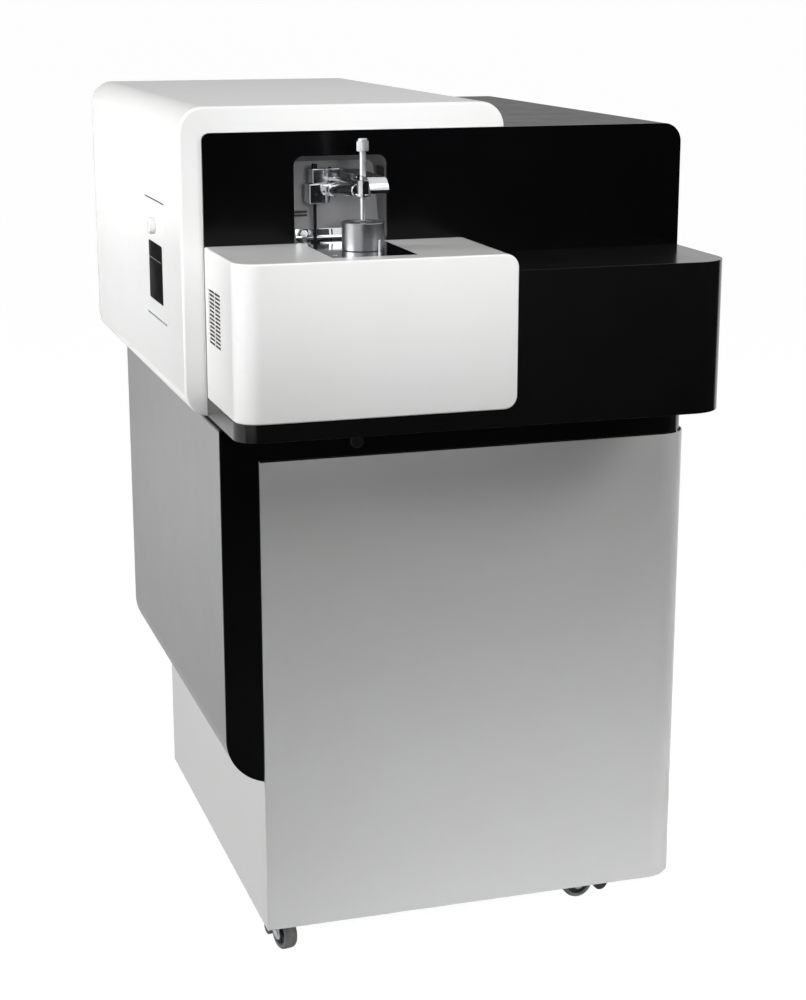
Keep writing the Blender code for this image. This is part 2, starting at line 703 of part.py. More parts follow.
def build_service_door():
    path = [(0, 0)] + corner_bend(BASE_W, 0) + [(BASE_W, BEND_R + DOOR_TAIL)]
    pivot = (ROD_X, ROD_IN_Y, 0)
    door = add("service_door", prism(sheet_outline(path, SHEET), "z", SKIRT_Z, DOOR_TOP), white, pivot)
    lug = arc(BASE_W - BEND_R, BEND_R, BEND_R - SHEET / 2, *LUG_ARC)
    lug += [(BASE_W - u, v) for u, v in LUG_INNER]
    for low in LUG_Z:
        hole = circle(ROD_X, ROD_IN_Y, ROD_R + FIT, 16)
        join(door, prism(lug, "z", low, low + LUG_T, [hole]))
    shelf = DOOR_TOP - STRIKE_LOW
    catch = [(SHEET / 2, shelf), (STRIKE_Y + SHEET, shelf), (STRIKE_Y + SHEET, DOOR_TOP - STRIKE_HIGH)]
    join(door, prism(sheet_outline(catch, SHEET), "x", LOCK_X - STRIKE_W / 2, LOCK_X + STRIKE_W / 2))


def build_hinge_rod():
    ends = [(ROD_X, ROD_IN_Y, z) for z in (CASE_LOW, BASE_TOP_INNER)]
    add("door_hinge_rod", rod(ROD_R, *ends), plated)


def frame_corner(offset):
    """Rounded lower left corner of the side cover, inside by an offset."""
    radius = FRAME_R - offset
    centre = FRAME_R - FRAME_OUT
    reach = degrees(acos((centre + FIT) / radius))
    return arc(centre, FRAME_LOW, radius, 180, 180 + reach, 8)


def build_front_frame():
    right = BASE_W - BAND_IN
    corner = frame_corner(0)
    strip_end = -STRIP_GAP
    trimmed = [p for p in corner if p[0] < strip_end]
    low = FRAME_LOW - sqrt(FRAME_R ** 2 - (FRAME_R - FRAME_OUT + STRIP_GAP) ** 2)
    overlap = (right - BEND_R) / 2
    outline = trimmed + [
        (strip_end, low), (strip_end, BAND_Z), (overlap, BAND_Z),
        (overlap, BAND_TOP), (-FRAME_OUT, BAND_TOP),
    ]
    lock_hole = circle(LOCK_X, LOCK_Z, LOCK_R + FIT)
    frame = add("front_frame", prism(outline, "y", 0, FRAME_T, [lock_hole]), black)
    path = [(overlap - LAP, 0)] + corner_bend(right, 0) + [(right, BODY_D - FIT)]
    join(frame, prism(sheet_outline(path, FRAME_T), "z", BAND_Z, BAND_TOP))


def build_door_lock():
    centre = (LOCK_X, 0, LOCK_Z)
    profile = [
        (0, -LOCK_HEAD_T - FIT), (LOCK_HEAD_R, -LOCK_HEAD_T - FIT), (LOCK_HEAD_R, -FIT),
        (LOCK_R, -FIT), (LOCK_R, CAM_Y + CAM_T), (0, CAM_Y + CAM_T),
    ]
    lock = add("door_lock", turned(profile, centre, "y"), plated, centre)
    half = CAM_W / 2
    cam = rounded(LOCK_X, LOCK_X + CAM_L, LOCK_Z - half, LOCK_Z + half, (0, half * 0.9, half * 0.9, 0), 4)
    join(lock, prism(cam, "y", CAM_Y, CAM_Y + CAM_T))


def build_side_cover():
    top = BASE_TOP_INNER
    outer = frame_corner(0) + [(-FIT, top), (-FRAME_OUT, top)]
    inner = frame_corner(SHEET)
    open_side = [(PAST, inner[-1][1]), (PAST, top - SHEET), (-FRAME_OUT + SHEET, top - SHEET)]
    cover = add("side_cover", prism(outer, "y", FRAME_T + FIT, BODY_D), grey)
    cut(cover, prism(inner + open_side, "y", 0, BODY_D - SHEET))


def slot_holes(columns, low):
    holes = []
    for left in columns:
        for row in range(SLOT_ROWS):
            z = low + row * SLOT_PITCH
            holes.append(rounded(left, left + SLOT_W, z, z + SLOT_H, 0))
    return holes


def build_rear_panel_lower():
    right = BASE_W - BAND_IN - FRAME_T - FIT
    outline = rounded(0, right, SKIRT_Z, BASE_TOP_INNER, 0)
    holes = [
        circle(FAN_X, FAN_Z, FAN_R, 32),
        circle(GAS_X, GAS_Z, GAS_R + FIT, 16),
        rounded(INLET_X - INLET_W / 2 - FIT, INLET_X + INLET_W / 2 + FIT,
                INLET_Z - INLET_H / 2 - FIT, INLET_Z + INLET_H / 2 + FIT, 0),
    ] + slot_holes((FAN_X - LOW_SLOT_LEFT,), LOW_SLOT_Z)
    add("rear_panel_lower", prism(outline, "y", PANEL_LOW_Y, PANEL_OUT_Y, holes), grey)


def build_cabinet_top():
    right = BASE_W - BAND_IN
    outline = [(-FRAME_OUT, 0)] + corner_bend(right, 0) + [(right, BODY_D), (-FRAME_OUT, BODY_D)]
    add("cabinet_top", prism(outline, "z", DECK_LOW, DECK_Z), dark)


# Casters
def build_caster(name, side_in, end_in, heading, has_brake):
    """Plate, fork, wheel and brake pedal. The trail runs along the fork's own +X."""
    x = side_in if name.endswith("left") else BASE_W - side_in
    y = end_in if name.startswith("front") else BASE_D - end_in
    turn = radians(heading)
    plate_top = PAN_Z - FIT
    race_low = plate_top - PLATE_T - RACE_T
    swivel = (x, y, 0)
    half = PLATE_A / 2
    plate = add("caster_plate_" + name,
                prism(rounded(x - half, x + half, y - half, y + half, PLATE_R, 2), "z",
                      plate_top - PLATE_T, plate_top, [circle(x, y, KING_R + FIT, 16)]), plated)
    race = [(KING_R + FIT, race_low), (CROWN_R, race_low), (CROWN_R, plate_top - PLATE_T / 2),
            (KING_R + FIT, plate_top - PLATE_T / 2)]
    join(plate, turned(race, (x, y, 0), closed=True))

    crown_top = race_low - FIT
    fork = add("caster_fork_" + name,
               turned([(0, crown_top - CROWN_T), (CROWN_R, crown_top - CROWN_T), (CROWN_R, crown_top),
                       (KING_R, crown_top), (KING_R, plate_top - FIT), (0, plate_top - FIT)], swivel),
               plated, swivel, turn)
    inner = WHEEL_W / 2 + RUN
    leg_end = arc(x + TRAIL, WHEEL_R, LEG_END_R, -110, 20, 5)
    behind = PEDAL_PIN_U - PEDAL_EYE_R if has_brake else -LEG_BEHIND
    top = crown_top - CROWN_T / 2
    leg = leg_end + [(x + LEG_AHEAD, top), (x + behind, top), (x + behind, PEDAL_PIN_Z - PEDAL_EYE_R)]
    for side in (-1, 1):
        span = sorted((y + side * inner, y + side * (inner + LEG_T)))
        join(fork, prism(leg, "y", *span))
    reach = inner + LEG_T / 2
    join(fork, rod(AXLE_R, (x + TRAIL, y - reach, WHEEL_R), (x + TRAIL, y + reach, WHEEL_R)))
    if has_brake:
        pin = (x + PEDAL_PIN_U, PEDAL_PIN_Z)
        join(fork, rod(PEDAL_PIN_R, (pin[0], y - reach, pin[1]), (pin[0], y + reach, pin[1]), 12))

    direction = Vector((cos(turn), sin(turn), 0))
    hub = Vector(swivel) + direction * TRAIL + Vector((0, 0, WHEEL_R))
    edge = TREAD_EDGE
    tread = [(AXLE_R + FIT, -WHEEL_W / 2), (WHEEL_R - edge, -WHEEL_W / 2), (WHEEL_R, -WHEEL_W / 2 + edge),
             (WHEEL_R, WHEEL_W / 2 - edge), (WHEEL_R - edge, WHEEL_W / 2), (AXLE_R + FIT, WHEEL_W / 2)]
    add("caster_wheel_" + name, turned(tread, hub, "y", 28, closed=True), rubber, hub, turn)

    if has_brake:
        pivot = Vector(swivel) + direction * PEDAL_PIN_U + Vector((0, 0, PEDAL_PIN_Z))
        eye = [(pivot.x + u, pivot.z + v) for u, v in arc(0, 0, PEDAL_EYE_R, 0, 180, 4)]
        lobe_x = pivot.x + PEDAL_U - PEDAL_PIN_U
        lobe_z = pivot.z + PEDAL_Z - PEDAL_PIN_Z
        lobe = arc(lobe_x, lobe_z, PEDAL_R, 180, 360, 8)
        half = inner - 2 * RUN
        add("brake_pedal_" + name,
            prism(eye + lobe, "y", pivot.y - half, pivot.y + half,
                  [circle(pivot.x, pivot.z, PEDAL_PIN_R + FIT, 12)]),
            plastic, pivot, turn)


# Boxes folded from sheet
def build_box(name, x, y, z, wall, mat):
    """Case open at its underside, standing on what lies below."""
    case = add(name, box(x, y, z), mat)
    cut(case, box((x[0] + wall, x[1] - wall), (y[0] + wall, y[1] - wall), (z[0] - wall, z[1] - wall)))
    return case


def build_manifold():
    right = BASE_W - SHEET - FIT
    left = right - MANIFOLD_D
    body = add("argon_manifold", box((left, right), MANIFOLD_Y, MANIFOLD_Z), alloy)
    pitch = (MANIFOLD_Y[1] - MANIFOLD_Y[0]) / STUB_COUNT
    middle = sum(MANIFOLD_Z) / 2
    for i in range(STUB_COUNT):
        y = MANIFOLD_Y[0] + pitch * (i + 0.5)
        join(body, rod(STUB_R, (left - STUB_L, y, middle), (left + STUB_L, y, middle)))


# Upper unit
def build_plinth():
    outer = rounded(-FRAME_OUT + PLINTH_IN, PLINTH_RIGHT, PLINTH_IN, PLINTH_BACK, 0)
    edge = PLINTH_IN + PLINTH_T
    inner = rounded(-FRAME_OUT + edge, PLINTH_RIGHT - PLINTH_T, edge, PLINTH_BACK - PLINTH_T, 0)
    add("plinth", prism(outer, "z", DECK_Z + FIT, UPPER_Z - FIT, [inner]), plastic)


def at_y(outline, y):
    return [(u, y, v) for u, v in outline]


def build_hood_shell():
    outer = rounded(-HOOD_OUT, HOOD_RIGHT, UPPER_Z, HOOD_TOP, HOOD_R)
    inner = rounded(-HOOD_OUT + SKIN, HOOD_RIGHT - SKIN, UPPER_Z + SKIN, HOOD_TOP - SKIN, HOOD_R - SKIN)
    hole = rounded(FASCIA_LEFT + LAP, HOOD_RIGHT - LAP, FASCIA_LOW + LAP, FASCIA_TOP - LAP, MOUTH_R)
    loops = [
        at_y(outer, HOOD_FRONT), at_y(outer, HOOD_BACK), at_y(inner, HOOD_BACK),
        at_y(inner, HOOD_FRONT + SKIN), at_y(hole, HOOD_FRONT + SKIN), at_y(hole, HOOD_FRONT),
    ]
    hood = add("hood_shell", lofted(loops, closed=True), white)
    mouth_y = (HATCH_Y[0] - HATCH_GAP, HATCH_Y[1] + HATCH_GAP)
    mouth_z = (HATCH_Z[0] - HATCH_LOW_GAP, HATCH_Z[1] + HATCH_GAP)
    cut(hood, box((HATCH_FACE - SKIN, HATCH_FACE + 2 * SKIN), mouth_y, mouth_z))


def build_right_cover():
    left = HOOD_RIGHT + FIT
    radii = (COVER_EDGE, COVER_EDGE, COVER_R, COVER_EDGE)
    inner_radii = (COVER_EDGE / 2, COVER_EDGE / 2, COVER_R - SKIN, COVER_EDGE / 2)
    outer = rounded(left, FASCIA_RIGHT, UPPER_Z, FASCIA_TOP, radii)
    inner = rounded(left + SKIN, FASCIA_RIGHT - SKIN, UPPER_Z + SKIN, FASCIA_TOP - SKIN, inner_radii)
    add("right_cover", prism(outer, "y", HOOD_FRONT, HOOD_BACK, [inner]), dark)


def build_rear_panel_upper():
    outline = (
        arc(-HOOD_OUT + HOOD_R, UPPER_Z + HOOD_R, HOOD_R, 180, 270)
        + [(FASCIA_RIGHT, UPPER_Z)]
        + arc(FASCIA_RIGHT - COVER_R, FASCIA_TOP - COVER_R, COVER_R, 0, 90)
        + arc(HOOD_RIGHT - HOOD_R, HOOD_TOP - HOOD_R, HOOD_R, 0, 90)
        + arc(-HOOD_OUT + HOOD_R, HOOD_TOP - HOOD_R, HOOD_R, 90, 180)
    )
    low = HOOD_BACK + FIT
    holes = slot_holes((TOP_SLOT_X, FASCIA_RIGHT - TOP_SLOT_RIGHT_IN), TOP_SLOT_Z)
    add("rear_panel_upper", prism(outline, "y", low, low + PANEL_T, holes), grey)


def window(grow=0.0, drop=0.0, radius=WINDOW_R):
    """Outline of the recess, grown all round, with its top lowered."""
    corner = radius + grow
    return rounded(WINDOW_X[0] - grow, WINDOW_X[1] + grow, FLOOR_Z - grow, WINDOW_TOP - drop + grow,
                   (WINDOW_LOW_R, WINDOW_LOW_R, corner, corner))


def build_fascia():
    outline = rounded(FASCIA_LEFT, FASCIA_RIGHT, FASCIA_LOW, FASCIA_TOP, FASCIA_R)
    holes = [window(), circle(SPARK_X, LIGHT_Z, LIGHT_HOLE)]
    add("fascia", prism(outline, "y", 0, FASCIA_T, holes), black)


def build_console_body():
    def plan(inset, left):
        front = -CONSOLE_OUT + inset
        right = FASCIA_RIGHT - inset
        back = PAST if inset else -FIT
        bend = CONSOLE_BEND - inset
        start = [(left, back)]
        if left < BLOCK_RIGHT - BLOCK_BEND:
            start += arc(left + BLOCK_BEND - inset, front + BLOCK_BEND - inset, BLOCK_BEND - inset, 180, 270)
        else:
            start.append((left, front))
        return start + arc(right - bend, front + bend, bend, -90, 0) + [(right, back)]

    wall = CONSOLE_T
    lip_top = BLOCK_LOW - FIT
    body = add("console_body", prism(plan(0, FASCIA_LEFT), "z", FASCIA_LOW, CONSOLE_TOP), black)
    beside = BLOCK_RIGHT + FIT
    room = rounded(FASCIA_LEFT - wall, beside, lip_top, CONSOLE_TOP + wall, (0, BLOCK_R + FIT, 0, 0))
    cut(body, prism(room, "y", -CONSOLE_OUT - wall, wall))
    cut(body, prism(plan(wall, beside + wall), "z", FASCIA_LOW + wall, CONSOLE_TOP - wall))
    cut(body, prism(plan(wall, FASCIA_LEFT + wall), "z", FASCIA_LOW + wall, lip_top - wall))


def block_solid(inset, back):
    """Stand block with round right corners and a bent left front edge."""
    outline = rounded(FASCIA_LEFT + inset, BLOCK_RIGHT - inset, BLOCK_LOW + inset, TABLE_Z - inset,
                      (0, BLOCK_R - inset, BLOCK_R - inset, 0))
    front = -BLOCK_OUT + inset
    bm = prism(outline, "y", front, back)
    left = FASCIA_LEFT + inset
    edge = [e for e in bm.edges if all(abs(v.co.x - left) < 1e-6 and abs(v.co.y - front) < 1e-6
                                       for v in e.verts)]
    bmesh.ops.bevel(bm, geom=edge, offset=BLOCK_BEND - inset, offset_type="OFFSET",
                    segments=ARC_STEPS, profile=0.5, affect="EDGES")
    return bm


def build_stand_cover():
    cover = add("stand_cover", block_solid(0, -FIT), white)
    cut(cover, block_solid(BLOCK_T, PAST))
    notch_x = (TABLE_X[0] - FIT, TABLE_X[1] + FIT)
    cut(cover, box(notch_x, (TABLE_FRONT - FIT, PAST), (TABLE_Z - 2 * BLOCK_T, TABLE_Z + BLOCK_T)))
    slots = []
    for front in VENT_COLUMNS:
        for row in range(VENT_ROWS):
            low = VENT_TOP - row * VENT_PITCH - VENT_HEIGHT / 2
            outline = rounded(front, front + VENT_LENGTH, low, low + VENT_HEIGHT, 0)
            slots.append(prism(outline, "x", FASCIA_LEFT - BLOCK_T, FASCIA_LEFT + 2 * BLOCK_T))
    cut(cover, *slots)


def recess_back(outline, offset):
    """Outline laid on the leaning back wall, moved back by an offset."""
    return [(u, RECESS_BACK_LOW + offset + (v - FLOOR_Z) * RECESS_LEAN, v) for u, v in outline]


def build_recess_liner():
    front = FASCIA_T + FIT
    back = front + LINER_T
    flange = rounded(WINDOW_X[0] - LINER_FLANGE, WINDOW_X[1] + LINER_FLANGE,
                     FLOOR_Z - LINER_T - LINER_FLANGE_LOW, WINDOW_TOP + LINER_FLANGE,
                     (WINDOW_LOW_R, WINDOW_LOW_R, WINDOW_R, WINDOW_R))
    loops = [
        recess_back(window(0, RECESS_DROP, BACK_R), 0), at_y(window(), front),
        at_y(flange, front), at_y(flange, back), at_y(window(LINER_T), back),
        recess_back(window(LINER_T, RECESS_DROP, BACK_R), LINER_T),
    ]
    add("recess_liner", lofted(loops, closed=False), grey)


def build_stand_table():
    rise = hypot(1, RECESS_LEAN)
    foot = RECESS_BACK_LOW - FIT * rise + (TABLE_LOW - FLOOR_Z) * RECESS_LEAN
    top = (foot + TABLE_UP * RECESS_LEAN, TABLE_LOW + TABLE_UP)
    path = filleted([(TABLE_FRONT, TABLE_LOW), (foot, TABLE_LOW), top], TABLE_BEND + TABLE_T)
    table = add("stand_table", prism(sheet_outline(path, TABLE_T), "x", *TABLE_X), steel)
    cut(table, rod(SPARK_HOLE_R, (SPARK_X, SPARK_Y, TABLE_LOW - TABLE_T),
                   (SPARK_X, SPARK_Y, TABLE_Z + TABLE_T), 24))


# Spark chamber
def build_spark_chamber():
    low = CHAMBER_LOW
    centre = (SPARK_X, SPARK_Y, 0)
    profile = [(CHAMBER_BORE, low), (CHAMBER_R, low), (CHAMBER_R, CHAMBER_TOP), (CHAMBER_BORE, CHAMBER_TOP)]
    chamber = add("spark_chamber", turned(profile, centre, steps=24, closed=True), alloy)
    cut(chamber, rod(LIGHT_BORE, (SPARK_X, SPARK_Y + CHAMBER_BORE / 2, LIGHT_Z),
                     (SPARK_X, SPARK_Y + CHAMBER_R + PAST, LIGHT_Z)))
    ring = [(ELECTRODE_R + FIT, low), (CHAMBER_BORE - FIT, low), (CHAMBER_BORE - FIT, low + RING_H),
            (ELECTRODE_R + FIT, low + RING_H)]
    add("insulator_ring", turned(ring, centre, closed=True), ceramic)
    tip = TABLE_Z - ELECTRODE_TIP
    pin = [(0, low - RING_H), (ELECTRODE_R, low - RING_H), (ELECTRODE_R, tip - ELECTRODE_CONE), (0, tip)]
    add("electrode", turned(pin, centre, steps=16), steel)


def build_light_tube():
    start = SPARK_Y + CHAMBER_R + FIT
    end = TUB_Y[0] - FIT
    profile = [(LIGHT_BORE, start), (LIGHT_R, start), (LIGHT_R, end), (LIGHT_BORE, end)]
    add("light_tube", turned(profile, (SPARK_X, 0, LIGHT_Z), "y", closed=True), alloy)


def build_test_sample():
    low = TABLE_Z + FIT
    edge = SAMPLE_EDGE
    profile = [(0, low), (SAMPLE_R - edge, low), (SAMPLE_R, low + edge), (SAMPLE_R, SAMPLE_TOP - edge),
               (SAMPLE_R - edge, SAMPLE_TOP), (SAMPLE_DISH_R, SAMPLE_TOP),
               (SAMPLE_DISH_R - SAMPLE_DISH, SAMPLE_TOP - SAMPLE_DISH), (0, SAMPLE_TOP - SAMPLE_DISH)]
    add("test_sample", turned(profile, (SPARK_X, SPARK_Y, 0), steps=32), plated)


# Sample clamp
def build_clamp():
    column_at = (COLUMN_X, COLUMN_Y, 0)
    low = TABLE_Z + FIT
    post = [(0, low), (COLUMN_FOOT_R, low), (COLUMN_FOOT_R, low + COLUMN_FOOT_H),
            (COLUMN_R, low + COLUMN_FOOT_H), (COLUMN_R, COLUMN_TOP), (0, COLUMN_TOP)]
    add("clamp_column", turned(post, column_at, steps=20), dark)

    arm = add("clamp_arm", box(HUB_X, HUB_Y, HUB_Z), steel, column_at)
    join(arm, box(BRACKET_X, BRACKET_Y, BRACKET_Z))
    join(arm, rod(BAR_R, (COLUMN_X + BAR_RIGHT, BAR_Y, BAR_Z), (SPARK_X, SPARK_Y, BAR_Z)))
    boss_x = (SPARK_X - BOSS_W / 2, SPARK_X + BOSS_W / 2)
    join(arm, box(boss_x, BOSS_Y, (BAR_Z - BAR_R, COVER_Z - COVER_T - FIT)))
    join(arm, rod(HEAD_R, (SPARK_X, SPARK_Y, HEAD_Z[0]), (SPARK_X, SPARK_Y, HEAD_Z[1]), 24))
    bore = CLAMP_ROD_R + FIT
    cut(arm,
        rod(COLUMN_R + FIT, (COLUMN_X, COLUMN_Y, HUB_Z[0] - PAST), (COLUMN_X, COLUMN_Y, COLUMN_TOP), 20),
        rod(bore, (SPARK_X, SPARK_Y, HEAD_Z[0] - PAST), (SPARK_X, SPARK_Y, COVER_Z), 20))

    front = SPARK_Y - COVER_END_AHEAD
    path = filleted([(front, TABLE_Z + COVER_END_UP), (front, COVER_Z), (COVER_BACK_Y, COVER_Z)], COVER_BEND)
    bent = prism(sheet_outline(path[::-1], COVER_T), "x", SPARK_X - COVER_W / 2, SPARK_X + COVER_W / 2)
    cover = add("arm_cover", bent, steel, column_at)
    cut(cover, rod(bore, (SPARK_X, SPARK_Y, COVER_Z - PAST), (SPARK_X, SPARK_Y, COVER_Z + PAST), 20))

    socket = KNOB_Z[0] + KNOB_SOCKET
    at = (SPARK_X, SPARK_Y, 0)
    ends = [(SPARK_X, SPARK_Y, z) for z in (CLAMP_ROD_LOW, socket - FIT)]
    add("clamp_rod", rod(CLAMP_ROD_R, *ends, 20), steel, at)
    tip_low = SAMPLE_TOP + TIP_GAP
    tip = [(0, tip_low), (TIP_R - TIP_EDGE, tip_low), (TIP_R, tip_low + TIP_EDGE),
           (TIP_R, CLAMP_ROD_LOW - FIT), (0, CLAMP_ROD_LOW - FIT)]
    add("rod_tip", turned(tip, at, steps=20), plated, at)
    knob_top = KNOB_Z[1] + KNOB_CAP_H
    edge = KNOB_EDGE
    knob = [(0, socket), (bore, socket), (bore, KNOB_Z[0]), (KNOB_R - edge, KNOB_Z[0]),
            (KNOB_R, KNOB_Z[0] + edge), (KNOB_R, KNOB_Z[1] - edge), (KNOB_R - edge, KNOB_Z[1]),
            (KNOB_CAP_R, KNOB_Z[1]), (KNOB_CAP_R, knob_top), (0, knob_top)]
    add("rod_knob", turned(knob, at, steps=20), plated, at)


# Filter compartment
def build_filter_hatch():
    pivot = (HATCH_PIN_X, 0, HATCH_PIN_Z)
    inner_x = HATCH_FACE + SHEET
    outline = rounded(*HATCH_Y, *HATCH_Z, HATCH_R, 2)
    pane_hole = rounded(*PANE_Y, *PANE_Z, PANE_R, 2)
    latch_hole = circle(LATCH_Y, LATCH_Z, LATCH_SHAFT_R + FIT, 16)
    sheet = prism(outline, "x", HATCH_FACE, inner_x, [pane_hole, latch_hole])
    door = add("filter_door", sheet, white, pivot)
    side = KNUCKLE_IN
    knuckle = [(HATCH_PIN_R + FIT, HATCH_Y[0] + side), (KNUCKLE_R, HATCH_Y[0] + side),
               (KNUCKLE_R, HATCH_Y[1] - side), (HATCH_PIN_R + FIT, HATCH_Y[1] - side)]
    join(door, turned(knuckle, pivot, "y", 16, closed=True))
    cut(door, rod(HATCH_PIN_R + FIT, (pivot[0], HATCH_Y[0] - side, pivot[2]),
                  (pivot[0], HATCH_Y[1] + side, pivot[2])))
    add("filter_hinge_pin",
        rod(HATCH_PIN_R, (pivot[0], HATCH_Y[0] - HATCH_GAP + FIT, pivot[2]),
            (pivot[0], HATCH_Y[1] + HATCH_GAP - FIT, pivot[2])), plated)
    lap = PANE_LAP
    flange = rounded(PANE_Y[0] - lap, PANE_Y[1] + lap, PANE_Z[0] - lap, PANE_Z[1] + lap, 0)
    pane = add("filter_pane", prism(flange, "x", inner_x + FIT, inner_x + FIT + PANE_T), glass, pivot)
    raised = rounded(PANE_Y[0] + FIT, PANE_Y[1] - FIT, PANE_Z[0] + FIT, PANE_Z[1] - FIT, PANE_R - FIT, 2)
    join(pane, prism(raised, "x", HATCH_FACE, inner_x + FIT + PANE_T / 2))

    centre = (0, LATCH_Y, LATCH_Z)
    out = HATCH_FACE - KNOB_OUT
    end = LATCH_CAM_X + LATCH_ARM_T
    knob = [(0, out), (LATCH_R - LATCH_EDGE, out), (LATCH_R, out + LATCH_EDGE), (LATCH_R, HATCH_FACE - FIT),
            (LATCH_SHAFT_R, HATCH_FACE - FIT), (LATCH_SHAFT_R, end), (0, end)]
    latch = add("filter_latch", turned(knob, centre, "x"), white, centre)
    half = LATCH_ARM_W / 2
    ends = (0, half * 0.9, half * 0.9, 0)
    arm = rounded(LATCH_Y, LATCH_Y + LATCH_ARM, LATCH_Z - half, LATCH_Z + half, ends, 3)
    join(latch, prism(arm, "x", LATCH_CAM_X, end))


def build_filter_pocket():
    gap = HATCH_GAP
    y0, y1 = HATCH_Y[0] - gap, HATCH_Y[1] + gap
    z0, z1 = HATCH_Z[0] - HATCH_LOW_GAP, HATCH_Z[1] + gap
    front = HATCH_FACE + SKIN + FIT
    wall = LINER_T

    def ring(grow, x):
        return [(x, u, v) for u, v in rounded(y0 - grow, y1 + grow, z0 - grow, z1 + grow, 0)]

    deep = HATCH_FACE + POCKET_D
    loops = [
        ring(0, deep - wall), ring(0, front), ring(POCKET_FLANGE, front),
        ring(POCKET_FLANGE, front + wall), ring(wall, front + wall), ring(wall, deep),
    ]
    pocket = add("filter_pocket", lofted(loops, closed=False), plastic)
    sweep = sqrt(LATCH_ARM ** 2 - (z1 - LATCH_Z) ** 2) + LATCH_ARM_W
    cut(pocket, box((LATCH_CAM_X - RUN, LATCH_CAM_X - RUN + LATCH_SLOT),
                    (LATCH_Y - LATCH_ARM_W, LATCH_Y + sweep), (z1 - wall, z1 + 2 * wall)))
    low = z0 + FIT
    top = low + CANISTER_H
    edge = CANISTER_EDGE
    middle = (y0 + y1) / 2
    profile = [(0, low), (CANISTER_R - edge, low), (CANISTER_R, low + edge), (CANISTER_R, top - edge),
               (CANISTER_R - edge, top), (CANISTER_NECK_R, top), (CANISTER_NECK_R, top + CANISTER_NECK_H),
               (0, top + CANISTER_NECK_H)]
    add("filter_canister", turned(profile, (CANISTER_X, middle, 0), steps=24), steel)


# Optics
def build_optics():
    tub = add("optics_tub", box(TUB_X, TUB_Y, (TUB_LOW, TUB_TOP)), alloy)
    wall = TUB_T
    cut(tub, box((TUB_X[0] + wall, TUB_X[1] - wall), (TUB_Y[0] + wall, TUB_Y[1] - wall),
                 (TUB_LOW + wall, TUB_TOP + wall)))
    cut(tub, rod(LIGHT_BORE, (SPARK_X, TUB_Y[0] - wall, LIGHT_Z), (SPARK_X, TUB_Y[0] + 2 * wall, LIGHT_Z)))
    lid_low = TUB_TOP + FIT
    add("optics_lid", box(TUB_X, TUB_Y, (lid_low, lid_low + LID_T)), alloy)
    low = lid_low + LID_T + FIT
    build_box("detector_housing", BOARD_X, BOARD_Y, (low, low + BOARD_H), BOX_T, dark)


# Fan
def build_fan():
    centre = (FAN_X, 0, FAN_Z)
    half = FAN_A / 2
    back = FAN_Y + FAN_D
    outline = rounded(FAN_X - half, FAN_X + half, FAN_Z - half, FAN_Z + half, FAN_CORNER, 2)
    housing = add("fan_housing",
                  prism(outline, "y", FAN_Y, back, [circle(FAN_X, FAN_Z, FAN_R, 32)]), plastic)
    strut = FAN_STRUT / 2
    reach = FAN_R + FAN_STRUT_T / 2
    join(housing, box((FAN_X - reach, FAN_X + reach), (FAN_Y, FAN_Y + FAN_STRUT_T),
                      (FAN_Z - strut, FAN_Z + strut)))
    join(housing, box((FAN_X - strut, FAN_X + strut), (FAN_Y, FAN_Y + FAN_STRUT_T),
                      (FAN_Z - reach, FAN_Z + reach)))
    hub = [(0, FAN_Y), (FAN_HUB_R, FAN_Y), (FAN_HUB_R, FAN_Y + FAN_STRUT_T),
           (SPINDLE_R, FAN_Y + FAN_STRUT_T), (SPINDLE_R, back - FAN_STRUT_T), (0, back - FAN_STRUT_T)]
    join(housing, turned(hub, centre, "y"))

    front = FAN_Y + FAN_STRUT_T + RUN
    end = back - FAN_STRUT_T
    pivot = (FAN_X, front, FAN_Z)
    bored = [(SPINDLE_R + FIT, front), (FAN_HUB_R, front), (FAN_HUB_R, end), (SPINDLE_R + FIT, end)]
    rotor = add("fan_rotor", turned(bored, centre, "y", closed=True), plastic, pivot)
    chord = (end - front) / sin(radians(BLADE_PITCH)) * 0.8
    blades = []
    for i in range(BLADES):
        blade = box((FAN_HUB_R - BLADE_ROOT, BLADE_R), (-BLADE_T / 2, BLADE_T / 2), (-chord / 2, chord / 2))
        tilt = Matrix.Rotation(radians(BLADE_PITCH), 4, "X")
        spin = Matrix.Rotation(2 * pi * i / BLADES, 4, "Y")
        middle = Matrix.Translation((FAN_X, (front + end) / 2, FAN_Z))
        bmesh.ops.transform(blade, matrix=middle @ spin @ tilt, verts=blade.verts[:])
        blades.append(blade)
    join(rotor, joined(*blades))

    holes = []
    for inner, outer in GUARD_RINGS:
        for i in range(GUARD_SPOKES):
            start = 360 / GUARD_SPOKES * i
            clear_in = degrees(GUARD_SPOKE / 2 / inner)
            clear_out = degrees(GUARD_SPOKE / 2 / outer)
            span = 360 / GUARD_SPOKES
            holes.append(arc(FAN_X, FAN_Z, outer, start + clear_out, start + span - clear_out, 5)
                         + arc(FAN_X, FAN_Z, inner, start + span - clear_in, start + clear_in, 4))
    guard = rounded(FAN_X - half, FAN_X + half, FAN_Z - half, FAN_Z + half, FAN_CORNER, 2)
    low = PANEL_OUT_Y + FIT
    add("fan_guard", prism(guard, "y", low, low + GUARD_T, holes), plated)


